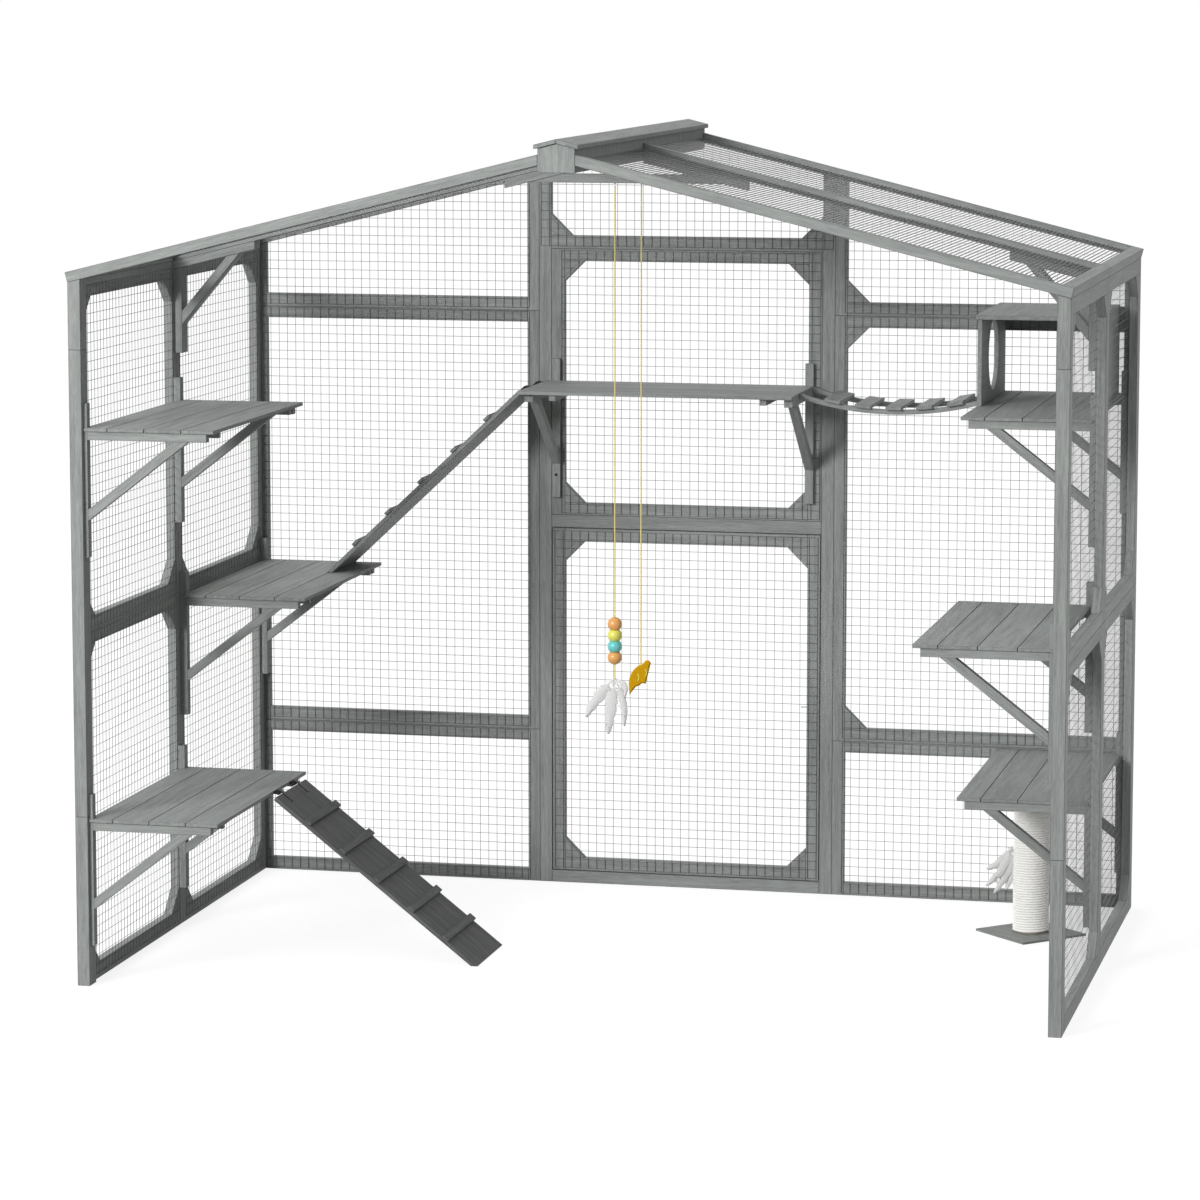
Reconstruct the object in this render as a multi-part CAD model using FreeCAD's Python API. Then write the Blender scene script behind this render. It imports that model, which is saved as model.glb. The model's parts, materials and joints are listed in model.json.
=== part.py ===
import FreeCAD, Part
import math
import os

# Walk-in outdoor cat enclosure: timber frame with wire mesh, gable roof, shelves, ramps and toys.
# Millimetres. X runs along the open front, Y from the open front to the rear wall, Z up.
# The origin lies on the ground under the middle of the enclosure.
os.makedirs("parts", exist_ok=True)
Vector = FreeCAD.Vector

# Overall frame
overall_width = 2570.0
overall_depth = 1600.0
eave_height = 1834.0
roof_angle = 14.04
half_width = overall_width / 2
half_depth = overall_depth / 2
roof_slope = math.tan(math.radians(roof_angle))

# Front posts, in three lengths butted end to end
post_width = 34.0
post_depth = 50.0
low_joint_height = 447.0
top_frame_height = 173.0
high_joint_height = eave_height - top_frame_height

# Side walls: a lower and an upper panel, each with two bays
wall_thickness = 24.0
wall_stile = 32.0
wall_rear_stile = 64.0
wall_bottom_rail = 44.0
wall_middle_rail = 35.5
wall_top_rail = 42.0
lower_panel_height = 926.0
wall_gusset_leg = 62.0

# Rear wall: two outer columns of stacked frames and a centre column
back_thickness = 22.0
column_stile = 35.0
column_side_stile = 18.0
column_rail = 38.0
column_top_rail = 33.0
column_bottom_rail = 36.5
column_gusset_leg = 61.0
centre_half_width = 429.0
centre_stile = 36.0
sill_height = 35.0
door_opening_height = 1003.0
centre_middle_rail = 37.0
infill_height = 764.0
centre_top_rail = 38.0
infill_stile = 39.0
infill_rail = 35.0
centre_gusset_leg = 58.0

# Access door in the rear wall
door_clearance = 2.0
door_stile = 37.0
door_top_rail = 38.0
door_bottom_rail = 37.0

# Butt hinges and barrel bolt on the outside of the door
leaf_thickness = 1.5
leaf_width = 30.0
leaf_height = 70.0
knuckle_radius = 3.0
hinge_pin_radius = 1.5
pin_clearance = 0.06
knuckle_gap = 0.3
hinge_inset = 160.0
bolt_radius = 2.0
bolt_length = 55.0
bolt_axis_out = 3.5
bolt_travel = 20.0
bolt_plate_thickness = 1.0
guide_size = 12.0
guide_length = 4.0
guide_height = 6.0
guide_inset = 1.0
bolt_handle_radius = 1.4
bolt_handle_drop = 16.0

# Welded wire mesh on the inner faces; every second wire of the mesh is drawn
wire_size = 1.4
wire_pitch = 25.0
wire_step = 2 * wire_pitch
wire_layer_gap = 0.2
mesh_lap = 1.0

# Roof
rafter_width = 22.0
rafter_depth = 26.5
sheet_thickness = 6.0
sheet_rise = 10.0
eave_rail_width = 24.0
ridge_half_width = 48.0
ridge_board_thickness = 12.0
ridge_drop = 18.0
ridge_plate_thickness = 10.0
cap_half_width = 57.0
cap_thickness = 11.0
cap_peak_rise = 54.0
cap_overhang = 6.0
collar_reach = 332.0
collar_depth = 24.0
tie_height = 24.0
tie_drop = 91.0

# Knee braces between the side walls and the middle rafters
knee_thickness = 50.0
knee_offset = 5.5
knee_cleat_depth = 24.0
knee_cleat_length = 228.0
knee_arm_length = 233.0
knee_arm_depth = 22.0
knee_brace_reach = 166.0
knee_brace_drop = 156.0
knee_brace_width = 37.0

# Shelves on the side walls
shelf_reach = 350.0
shelf_thickness = 9.0
plank_width = 97.0
left_edge_plank = 86.0
right_edge_plank = 63.0
plank_least = 40.0
plank_seam = 2.0
shelf_end_gap = 4.0
shelf_front_inset = 14.0
shelf_rear_inset = 5.0
rear_stile_inset = 10.0
batten_width = 18.0
batten_thickness = 17.0
batten_inset = 10.0
batten_gap = 48.0
top_shelf_drop = 374.0
left_middle_height = 921.0
left_bottom_height = 441.0
right_middle_height = 972.0
right_bottom_height = 443.0

# Shelf brackets: wall cleat, arm and brace
bracket_thickness = 24.0
cleat_face = 10.0
cleat_rise = 63.0
cleat_length = 399.0
arm_depth = 22.0
arm_inset = 20.0
brace_reach = 271.0
brace_drop = 209.0
brace_width = 38.0
notch_clearance = 0.5

# Long shelf on the rear wall
long_shelf_overhang = 12.0
long_shelf_length = 777.0
long_shelf_depth = 356.5
long_bracket_edge = 4.0
long_bracket_end = 1.0
wall_gap = 3.5

# Cat box on the top right shelf
box_board = 12.0
box_height = 246.0
box_length = 472.0
box_width = 329.0
box_lid_overhang = 5.0
box_hole_diameter = 196.0
box_hole_rise = 123.0

# Ramps
lower_ramp_width = 272.0
upper_ramp_width = 244.0
ramp_thickness = 12.0
ramp_gap = 0.3
tread_count = 5
tread_overhang = 4.0
tread_width = 22.0
tread_height = 9.0
tread_first = 0.15
tread_last = 0.83
lower_ramp_run = 556.0
lower_ramp_inset = 80.0
upper_ramp_run = 569.0
upper_ramp_rear_gap = 6.5

# Ramp hinges: a lug plate with a pin on the shelf edge, a strap with an eye on the ramp
ramp_pin_radius = 3.0
ramp_pin_out = 11.0
ramp_eye_radius = 7.0
ramp_eye_width = 18.0
ramp_lug_gap = 0.5
ramp_lug_thickness = 2.5
ramp_plate_thickness = 2.0
ramp_strap_thickness = 2.0
ramp_strap_length = 46.0
ramp_hinge_offset = 72.0
ramp_end_gap = 10.0

# Slat bridge between the long shelf and the top right shelf
bridge_sag = 39.0
strip_depth = 13.0
strip_width = 18.0
bridge_width = 222.0
strip_end_drop = 2.0
slat_count = 5
slat_spacing = 86.0
slat_width = 44.0
slat_thickness = 9.0
slat_length = 246.0

# Scratching post
scratch_inset = 198.0
scratch_rear_distance = 410.0
scratch_base_side = 215.0
scratch_base_thickness = 6.0
scratch_radius = 50.0
rope_diameter = 15.0
rope_turns = 24
rope_sides = 4
rope_end_gap = 1.0
rope_core_gap = 0.3

# Feather tufts
feather_length = 132.0
feather_width = 30.0
feather_belly = 0.55
feather_shoulder = 0.7
feather_thickness = 1.6
feather_layer = 1.9
feather_binding_radius = 4.0
feather_binding_height = 18.0
feather_root_gap = 0.2
scratch_tuft_height = 247.0
scratch_tuft_gap = 0.3
scratch_plume_angles = (14, 26, 38)

# Hanging toys
toy_spread = 36.0
toy_centre_x = 5.0
eye_radius = 5.0
eye_wire = 1.2
cord_radius = 1.5
cord_gap = 0.3
bead_radius = 19.5
bead_shoulder_radius = 16.5
bead_shoulder_height = 8.5
bead_flat_radius = 9.0
bead_height = 30.0
bead_sides = 16
bead_gap = 0.2
bead_count = 4
left_cord_length = 1158.0
tuft_cord_length = 42.0
right_cord_length = 1281.0
toy_plume_angles = (-12, 2, 14, 26, 36)
fish_seat = 5.0
fish_head = ((12.0, 11.0), (23.5, 11.0), (25.5, -1.0))
fish_tail = ((13.5, -51.0), (3.5, -50.0), (-4.5, -57.0), (-13.5, -60.0), (-20.0, -68.0), (-31.0, -82.5))
fish_back = ((-33.0, -55.0), (-26.0, -24.0))
fish_thickness = 8.0

# Places worked out from the driving sizes
wall_inner_x = half_width - wall_thickness
post_inner_x = half_width - post_width
wall_front_y = -half_depth + post_depth
back_inner_y = half_depth - back_thickness
mesh_depth = 2 * wire_size + wire_layer_gap
door_bottom = sill_height
door_top = sill_height + door_opening_height
infill_bottom = door_top + centre_middle_rail
infill_top = infill_bottom + infill_height
gable_bottom = infill_top + centre_top_rail
centre_inner_x = centre_half_width - centre_stile
rafter_rise = rafter_depth / math.cos(math.radians(roof_angle))
ramp_lug_half = shelf_thickness / 2
top_shelf_height = eave_height - top_shelf_drop
long_shelf_height = top_shelf_height + strip_end_drop


def roof_under(x):
    """Height of the underside of the rafters at a distance x from the middle."""
    return eave_height + (half_width - abs(x)) * roof_slope


ridge_low = roof_under(ridge_half_width) - ridge_drop


def box(x0, x1, y0, y1, z0, z1):
    """Box between two corners given in any order."""
    low = Vector(min(x0, x1), min(y0, y1), min(z0, z1))
    return Part.makeBox(abs(x1 - x0), abs(y1 - y0), abs(z1 - z0), low)


def polygon_solid(points, push):
    """Solid made by pushing a flat polygon along a vector."""
    outline = Part.makePolygon(points + [points[0]])
    return Part.Face(outline).extrude(push)


def prism_xz(points, y0, y1):
    """Outline in X and Z, pushed along Y."""
    corners = [Vector(x, y0, z) for x, z in points]
    return polygon_solid(corners, Vector(0, y1 - y0, 0))


def prism_yz(points, x0, x1):
    """Outline in Y and Z, pushed along X."""
    corners = [Vector(x0, y, z) for y, z in points]
    return polygon_solid(corners, Vector(x1 - x0, 0, 0))


def cylinder_y(radius, x, z, y0, y1):
    """Cylinder along Y."""
    return Part.makeCylinder(radius, y1 - y0, Vector(x, y0, z), Vector(0, 1, 0))


def export(name, solids):
    """Write one node as a group of separate solids."""
    Part.makeCompound(solids).exportStep("parts/" + name + ".step")


def spread(start, end, step):
    """Evenly stepped places, centred between start and end."""
    count = int((end - start) / step)
    first = (start + end - count * step) / 2
    return [first + i * step for i in range(count + 1)]


def corner_gussets(u0, u1, v0, v1, leg):
    """Triangles that fill the four corners of a rectangular opening."""
    triangles = []
    for u, du in ((u0, leg), (u1, -leg)):
        for v, dv in ((v0, leg), (v1, -leg)):
            triangles.append([(u, v), (u + du, v), (u, v + dv)])
    return triangles


# Side walls
front_bay = (wall_front_y, -wall_stile)
rear_bay = (wall_stile, half_depth - wall_rear_stile)
wall_bays = (front_bay, rear_bay)
lower_window = (wall_bottom_rail, lower_panel_height - wall_middle_rail)
upper_window = (lower_panel_height + wall_middle_rail, eave_height - wall_top_rail)
wall_stiles = (
    (-wall_stile, 0),
    (0, wall_stile),
    (half_depth - wall_rear_stile, half_depth),
)


def front_post(side):
    """Corner post of the open front: three lengths, the top one cut to the roof slope."""
    x_in = side * post_inner_x
    x_out = side * half_width
    y0 = -half_depth
    y1 = wall_front_y
    lower = box(x_in, x_out, y0, y1, 0, low_joint_height)
    middle = box(x_in, x_out, y0, y1, low_joint_height, high_joint_height)
    top = [
        (x_in, high_joint_height),
        (x_out, high_joint_height),
        (x_out, roof_under(half_width)),
        (x_in, roof_under(post_inner_x)),
    ]
    return [lower, middle, prism_xz(top, y0, y1)]


def lower_wall_panel(side):
    """Rails and stiles of the lower side panel."""
    x_in = side * wall_inner_x
    x_out = side * half_width
    members = []
    for y0, y1 in wall_bays:
        members.append(box(x_in, x_out, y0, y1, 0, lower_window[0]))
        members.append(box(x_in, x_out, y0, y1, lower_window[1], lower_panel_height))
    for y0, y1 in wall_stiles:
        members.append(box(x_in, x_out, y0, y1, 0, lower_panel_height))
    return members


def upper_wall_panel(side):
    """Rails and stiles of the upper side panel, bevelled on top to the roof slope."""
    x_in = side * wall_inner_x
    x_out = side * half_width

    def to_roof(z0, y0, y1):
        outline = [
            (x_in, z0),
            (x_out, z0),
            (x_out, roof_under(half_width)),
            (x_in, roof_under(wall_inner_x)),
        ]
        return prism_xz(outline, y0, y1)

    members = []
    for y0, y1 in wall_bays:
        members.append(box(x_in, x_out, y0, y1, lower_panel_height, upper_window[0]))
        members.append(to_roof(upper_window[1], y0, y1))
    for y0, y1 in wall_stiles:
        members.append(to_roof(lower_panel_height, y0, y1))
    return members


def wall_gussets(side):
    """Corner triangles of the four windows of a side wall."""
    solids = []
    for bay in wall_bays:
        for window in (lower_window, upper_window):
            for triangle in corner_gussets(*bay, *window, wall_gusset_leg):
                solids.append(prism_yz(triangle, side * wall_inner_x, side * half_width))
    return solids


def wall_mesh(side):
    """Wires on the inner face of a side wall: level wires first, upright wires over them."""
    level_x = (side * wall_inner_x, side * (wall_inner_x - wire_size))
    upright_x = (side * (wall_inner_x - mesh_depth + wire_size), side * (wall_inner_x - mesh_depth))
    half = wire_size / 2
    wires = []
    for y0, y1 in wall_bays:
        first_y = y0 if y0 == wall_front_y else y0 - mesh_lap
        last_y = y1 + mesh_lap
        for z0, z1 in (lower_window, upper_window):
            for z in spread(z0 - mesh_lap + half, z1 + mesh_lap - half, wire_step):
                wires.append(box(*level_x, first_y, last_y, z - half, z + half))
            for y in spread(first_y + half, last_y - half, wire_step):
                wires.append(box(*upright_x, y - half, y + half, z0 - mesh_lap, z1 + mesh_lap))
    return wires


for side, word in ((-1, "left"), (1, "right")):
    export(word + "_lower_wall_panel", lower_wall_panel(side))
    export(word + "_upper_wall_panel", upper_wall_panel(side))
    export(word + "_wall_gussets", wall_gussets(side))
    export(word + "_wall_mesh", wall_mesh(side))
export("front_posts", front_post(-1) + front_post(1))


# Rear wall
def back_column(side):
    """Three stacked frames of an outer column; the top one follows the roof slope."""
    x_wall = wall_inner_x
    x_mid = centre_half_width
    stiles = ((x_mid, x_mid + column_stile), (x_wall - column_side_stile, x_wall))
    inner = (x_mid + column_stile, x_wall - column_side_stile)
    y0 = back_inner_y
    y1 = half_depth
    frames = (
        (0, column_bottom_rail, low_joint_height),
        (low_joint_height, column_rail, high_joint_height),
    )
    members = []
    for z0, low_rail, z1 in frames:
        members.append(box(side * inner[0], side * inner[1], y0, y1, z0, z0 + low_rail))
        members.append(box(side * inner[0], side * inner[1], y0, y1, z1 - column_top_rail, z1))
        for x0, x1 in stiles:
            members.append(box(side * x0, side * x1, y0, y1, z0, z1))
    z0 = high_joint_height
    members.append(box(side * inner[0], side * inner[1], y0, y1, z0, z0 + column_rail))
    for x0, x1 in stiles:
        outline = [(x0, z0), (x1, z0), (x1, roof_under(x1)), (x0, roof_under(x0))]
        members.append(prism_xz([(side * x, z) for x, z in outline], y0, y1))
    return members


def centre_frame():
    """Fixed stiles and rails of the centre column."""
    y0 = back_inner_y
    y1 = half_depth
    members = []
    for side in (-1, 1):
        x0 = centre_inner_x
        x1 = centre_half_width
        outline = [(x0, 0), (x1, 0), (x1, roof_under(x1)), (x0, roof_under(x0))]
        members.append(prism_xz([(side * x, z) for x, z in outline], y0, y1))
    for z0, z1 in ((0, sill_height), (door_top, infill_bottom), (infill_top, gable_bottom)):
        members.append(box(-centre_inner_x, centre_inner_x, y0, y1, z0, z1))
    return members


def rect_frame(half_x, z0, z1, stile, low_rail, high_rail):
    """Two full-height stiles with two rails between them, in the rear wall's thickness."""
    y0 = back_inner_y
    y1 = half_depth
    inner = half_x - stile
    return [
        box(-half_x, -inner, y0, y1, z0, z1),
        box(inner, half_x, y0, y1, z0, z1),
        box(-inner, inner, y0, y1, z0, z0 + low_rail),
        box(-inner, inner, y0, y1, z1 - high_rail, z1),
    ]


infill_window = (infill_bottom + infill_rail, infill_top - infill_rail)
infill_inner_x = centre_inner_x - infill_stile
door_half_x = centre_inner_x - door_clearance
door_inner_x = door_half_x - door_stile
door_low_z = door_bottom + door_clearance
door_high_z = door_top - door_clearance
door_window = (door_low_z + door_bottom_rail, door_high_z - door_top_rail)


def back_gussets():
    """Corner triangles of the gable window, the upper infill and the right column."""
    y0 = back_inner_y
    y1 = half_depth
    triangles = corner_gussets(-infill_inner_x, infill_inner_x, *infill_window, centre_gusset_leg)
    leg = column_gusset_leg
    for side in (-1, 1):
        x = side * centre_inner_x
        triangles.append([(x, gable_bottom), (x - side * leg, gable_bottom), (x, gable_bottom + leg)])
    x = centre_half_width + column_stile
    for z, rise in (
        (low_joint_height + column_rail, leg),
        (high_joint_height - column_top_rail, -leg),
        (high_joint_height + column_rail, leg),
    ):
        triangles.append([(x, z), (x + leg, z), (x, z + rise)])
    return [prism_xz(triangle, y0, y1) for triangle in triangles]


def door_gussets():
    """Corner triangles of the door."""
    corners = corner_gussets(-door_inner_x, door_inner_x, *door_window, centre_gusset_leg)
    return [prism_xz(triangle, back_inner_y, half_depth) for triangle in corners]


level_y = (back_inner_y - wire_size, back_inner_y)
upright_y = (back_inner_y - mesh_depth, back_inner_y - mesh_depth + wire_size)


def back_window_mesh(x0, x1, z0, z1):
    """Wires over a rectangular window of the rear wall, lapping its frame."""
    half = wire_size / 2
    x0 = x0 - mesh_lap
    x1 = x1 + mesh_lap
    z0 = z0 - mesh_lap
    z1 = z1 + mesh_lap
    wires = []
    for z in spread(z0 + half, z1 - half, wire_step):
        wires.append(box(x0, x1, *level_y, z - half, z + half))
    for x in spread(x0 + half, x1 - half, wire_step):
        wires.append(box(x - half, x + half, *upright_y, z0, z1))
    return wires


def back_slope_mesh(x0, x1, z0):
    """Wires over a window of the rear wall that ends at the rear rafter; x0 is the inner end."""
    half = wire_size / 2
    x0 = x0 - mesh_lap
    x1 = x1 + mesh_lap
    z0 = z0 - mesh_lap
    wires = []
    for x in spread(x0 + half, x1 - half, wire_step):
        wires.append(box(x - half, x + half, *upright_y, z0, roof_under(x + half) + mesh_lap))
    z = z0 + half
    while z < roof_under(x0) + mesh_lap - wire_step / 2:
        reach = half_width - (z + half - mesh_lap - eave_height) / roof_slope
        wires.append(box(x0, min(x1, reach), *level_y, z - half, z + half))
        z += wire_step
    return wires


def mirrored(solids):
    """The same solids on the other side of the enclosure."""
    return [solid.mirror(Vector(0, 0, 0), Vector(1, 0, 0)) for solid in solids]


def gable_mesh():
    """Wires of the gable window: level wires run across, upright wires end at the rear rafters."""
    half = wire_size / 2
    x1 = centre_inner_x + mesh_lap
    z0 = gable_bottom - mesh_lap
    top = ridge_low
    wires = []
    for x in spread(-x1 + half, x1 - half, wire_step):
        clear_of_ridge = abs(x) - half > ridge_half_width
        end = roof_under(abs(x) + half) + mesh_lap if clear_of_ridge else top
        wires.append(box(x - half, x + half, *upright_y, z0, end))
    for z in spread(z0 + half, top - half, wire_step):
        reach = half_width - (z + half - mesh_lap - eave_height) / roof_slope
        span = min(x1, reach)
        wires.append(box(-span, span, *level_y, z - half, z + half))
    return wires


def back_column_mesh():
    """Wires of the three windows of the right column."""
    x0 = centre_half_width + column_stile
    x1 = wall_inner_x - column_side_stile
    low_top = low_joint_height - column_top_rail
    high_top = high_joint_height - column_top_rail
    wires = back_window_mesh(x0, x1, column_bottom_rail, low_top)
    wires += back_window_mesh(x0, x1, low_joint_height + column_rail, high_top)
    wires += back_slope_mesh(x0, x1, high_joint_height + column_rail)
    return wires


export("back_left_frames", back_column(-1))
export("back_right_frames", back_column(1))
export("centre_frame", centre_frame())
export("upper_infill_frame", rect_frame(
    centre_inner_x, infill_bottom, infill_top, infill_stile, infill_rail, infill_rail))
export("back_gussets", back_gussets())
export("back_left_mesh", mirrored(back_column_mesh()))
export("back_right_mesh", back_column_mesh())
infill_mesh = back_window_mesh(-infill_inner_x, infill_inner_x, *infill_window)
export("back_centre_mesh", infill_mesh + gable_mesh())
export("door_frame", rect_frame(
    door_half_x, door_low_z, door_high_z, door_stile, door_bottom_rail, door_top_rail))
export("door_gussets", door_gussets())
export("door_mesh", back_window_mesh(-door_inner_x, door_inner_x, *door_window))

# Door hinges on the outer face, at the left edge of the door
hinge_x = -centre_inner_x + door_clearance / 2
hinge_y = half_depth + knuckle_radius
hinge_heights = (door_low_z + hinge_inset, door_high_z - hinge_inset)
knuckle_length = leaf_height / 3
hinge_bore_radius = hinge_pin_radius + pin_clearance


def hinge_leaf(side, z, spans, bore_radius):
    """Leaf plate with its knuckles; side is -1 for the fixed leaf and 1 for the door's leaf."""
    clear = knuckle_radius + knuckle_gap
    y0 = half_depth
    y1 = half_depth + leaf_thickness
    low = z - leaf_height / 2
    leaf = box(hinge_x + side * clear, hinge_x + side * leaf_width, y0, y1, low, low + leaf_height)
    for start, end in spans:
        z0 = low + start
        tab = box(hinge_x, hinge_x + side * clear, y0, y1, z0, low + end)
        knuckle = Part.makeCylinder(knuckle_radius, end - start, Vector(hinge_x, hinge_y, z0))
        leaf = leaf.fuse([tab, knuckle])
    if bore_radius > 0:
        leaf = leaf.cut(Part.makeCylinder(bore_radius, leaf_height, Vector(hinge_x, hinge_y, low)))
    return leaf.removeSplitter()


outer_spans = (
    (0, knuckle_length - knuckle_gap),
    (2 * knuckle_length + knuckle_gap, leaf_height),
)
middle_span = ((knuckle_length, 2 * knuckle_length),)
fixed_leaves = []
for z in hinge_heights:
    foot = Vector(hinge_x, hinge_y, z - leaf_height / 2)
    pin = Part.makeCylinder(hinge_pin_radius, leaf_height, foot)
    fixed_leaves.append(hinge_leaf(-1, z, outer_spans, 0).fuse(pin).removeSplitter())
door_leaves = [hinge_leaf(1, z, middle_span, hinge_bore_radius) for z in hinge_heights]
export("door_hinge_fixed_leaves", fixed_leaves)
export("door_hinge_door_leaves", door_leaves)

# Barrel bolt at the right edge of the door, drawn back
bolt_z = (door_low_z + door_high_z) / 2
bolt_y = half_depth + bolt_axis_out
bolt_end_x = door_half_x - door_clearance
guide_bore = bolt_radius + pin_clearance


def bolt_eye(x0, y0):
    """Block with a bore for the bolt, standing out from the outer face."""
    half = guide_size / 2
    block = box(x0, x0 + guide_length, y0, half_depth + guide_height, bolt_z - half, bolt_z + half)
    bore = Part.makeCylinder(guide_bore, guide_length, Vector(x0, bolt_y, bolt_z), Vector(1, 0, 0))
    return block.cut(bore)


def bolt_body():
    """Plate on the door with two guide eyes."""
    x0 = door_inner_x
    x1 = bolt_end_x
    plate_top = half_depth + bolt_plate_thickness
    plate = box(x0, x1, half_depth, plate_top, bolt_z - guide_size, bolt_z + guide_size)
    inner_eye = bolt_eye(x0 + guide_inset, plate_top)
    outer_eye = bolt_eye(x1 - guide_inset - guide_length, plate_top)
    body = plate.fuse([inner_eye, outer_eye])
    return body.removeSplitter()


def bolt_rod():
    """Round bolt with a short handle that hangs down between the eyes."""
    x0 = bolt_end_x - bolt_length
    rod = Part.makeCylinder(bolt_radius, bolt_length, Vector(x0, bolt_y, bolt_z), Vector(1, 0, 0))
    handle_x = door_inner_x + guide_inset + guide_length + 2 * bolt_handle_radius
    handle_top = Vector(handle_x, bolt_y, bolt_z)
    handle = Part.makeCylinder(bolt_handle_radius, bolt_handle_drop, handle_top, Vector(0, 0, -1))
    return rod.fuse(handle)


export("bolt_body", [bolt_body()])
export("bolt_rod", [bolt_rod()])
keeper_x = bolt_end_x + bolt_travel - guide_length - pin_clearance
export("bolt_keeper", [bolt_eye(keeper_x, half_depth)])


# Roof
def slope_piece(x0, x1, low, high, y0, y1, square_end=False):
    """Board along the right roof slope, from low to high above the rafters' underside.

    The lower end is plumb, or square to the slope where it is the eave.
    """
    end_low = x1 + low * roof_slope * square_end
    end_high = x1 + high * roof_slope * square_end
    fall_low = roof_under(x1) - low * roof_slope * roof_slope * square_end
    fall_high = roof_under(x1) - high * roof_slope * roof_slope * square_end
    outline = [
        (x0, roof_under(x0) + low),
        (end_low, fall_low + low),
        (end_high, fall_high + high),
        (x0, roof_under(x0) + high),
    ]
    return prism_xz(outline, y0, y1)


rafter_places = (
    (-half_depth, -half_depth + rafter_width),
    (-rafter_width / 2, rafter_width / 2),
    (half_depth - rafter_width, half_depth),
)
roof_bays = (
    (rafter_places[0][1], rafter_places[1][0]),
    (rafter_places[1][1], rafter_places[2][0]),
)
eave_rail_x = half_width - eave_rail_width
cap_peak = roof_under(0) + cap_peak_rise


def cap_under(x):
    """Underside of the ridge cap."""
    return cap_peak - cap_thickness - abs(x) * roof_slope


def ridge_boards():
    """Two boards along the ridge and a plate over each end of them."""
    inner = ridge_half_width - ridge_board_thickness
    outline = [
        (inner, ridge_low),
        (ridge_half_width, ridge_low),
        (ridge_half_width, cap_under(ridge_half_width)),
        (inner, cap_under(inner)),
    ]
    reach = half_depth - ridge_plate_thickness
    board = prism_xz(outline, -reach, reach)
    end = [
        (-ridge_half_width, ridge_low),
        (ridge_half_width, ridge_low),
        (ridge_half_width, cap_under(ridge_half_width)),
        (0, cap_under(0)),
        (-ridge_half_width, cap_under(ridge_half_width)),
    ]
    plates = [prism_xz(end, -half_depth, -reach), prism_xz(end, reach, half_depth)]
    return [board] + mirrored([board]) + plates


def ridge_cap():
    """Two sloping cap boards that meet over the ridge."""
    outline = [
        (0, cap_under(0)),
        (cap_half_width, cap_under(cap_half_width)),
        (cap_half_width, cap_under(cap_half_width) + cap_thickness),
        (0, cap_peak),
    ]
    reach = half_depth + cap_overhang
    board = prism_xz(outline, -reach, reach)
    return [board] + mirrored([board])


rafters = []
for y0, y1 in rafter_places:
    rafters.append(slope_piece(ridge_half_width, half_width, 0, rafter_rise, y0, y1, True))
eave_rails = []
sheets = []
sheet_top = sheet_rise + sheet_thickness
for y0, y1 in roof_bays:
    eave_rails.append(slope_piece(eave_rail_x, half_width, 0, rafter_rise, y0, y1, True))
    sheets.append(slope_piece(ridge_half_width, eave_rail_x, sheet_rise, sheet_top, y0, y1))
export("roof_rafters", rafters + mirrored(rafters))
export("eave_rails", eave_rails + mirrored(eave_rails))
export("roof_sheets", sheets + mirrored(sheets))
export("ridge_boards", ridge_boards())
export("ridge_cap", ridge_cap())

# Collar under the ridge: an arm under each middle rafter and a tie between the arms
middle_y = rafter_places[1]
collar_rise = collar_depth / math.cos(math.radians(roof_angle))
tie_low = roof_under(0) - tie_drop
tie_high = tie_low + tie_height


def collar_reach_at(z):
    """Distance from the middle at which the lower edge of an arm is at height z."""
    return (roof_under(0) - collar_rise - z) / roof_slope


collar_arm = slope_piece(ridge_half_width, collar_reach, -collar_rise, 0, *middle_y)
tie_outline = [
    (-collar_reach_at(tie_low), tie_low),
    (collar_reach_at(tie_low), tie_low),
    (collar_reach_at(tie_high), tie_high),
    (-collar_reach_at(tie_high), tie_high),
]
export("roof_collar", [collar_arm] + mirrored([collar_arm]) + [prism_xz(tie_outline, *middle_y)])


def roof_knee():
    """Cleat on the side wall, arm under the middle rafter and a brace between them."""
    y0 = knee_offset - knee_thickness / 2
    y1 = knee_offset + knee_thickness / 2
    face = wall_inner_x - knee_cleat_depth
    arm_rise = knee_arm_depth / math.cos(math.radians(roof_angle))
    arm_end = wall_inner_x - knee_arm_length
    arm = slope_piece(arm_end, wall_inner_x, -arm_rise, 0, y0, y1)
    cleat_low = roof_under(wall_inner_x) - arm_rise - knee_cleat_length
    cleat = prism_xz([
        (face, cleat_low),
        (wall_inner_x, cleat_low),
        (wall_inner_x, roof_under(wall_inner_x) - arm_rise),
        (face, roof_under(face) - arm_rise),
    ], y0, y1)
    top_in = face - knee_brace_reach
    top_out = top_in + knee_brace_width
    foot = roof_under(face) - arm_rise - knee_brace_drop
    brace = prism_xz([
        (top_in, roof_under(top_in) - arm_rise),
        (face, foot),
        (face, foot + knee_brace_width),
        (top_out, roof_under(top_out) - arm_rise),
    ], y0, y1)
    return [arm, cleat, brace]


export("roof_knees", roof_knee() + mirrored(roof_knee()))


# Shelves on the side walls
def bracket_outlines(top, face, back, reach):
    """Cleat, arm and brace as outlines; the first number is the distance from the wall."""
    seat = top - shelf_thickness
    under = seat - arm_depth
    cleat = [(back, top + cleat_rise), (face, top + cleat_rise),
             (face, top + cleat_rise - cleat_length), (back, top + cleat_rise - cleat_length)]
    arm = [(face, seat), (reach, seat), (reach, under), (face, under)]
    rise = brace_width * brace_drop / brace_reach
    strut = [(face + brace_reach, under), (face, under - brace_drop),
             (face, under - brace_drop + rise), (face + brace_reach - brace_width, under)]
    return cleat, arm, strut


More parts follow.
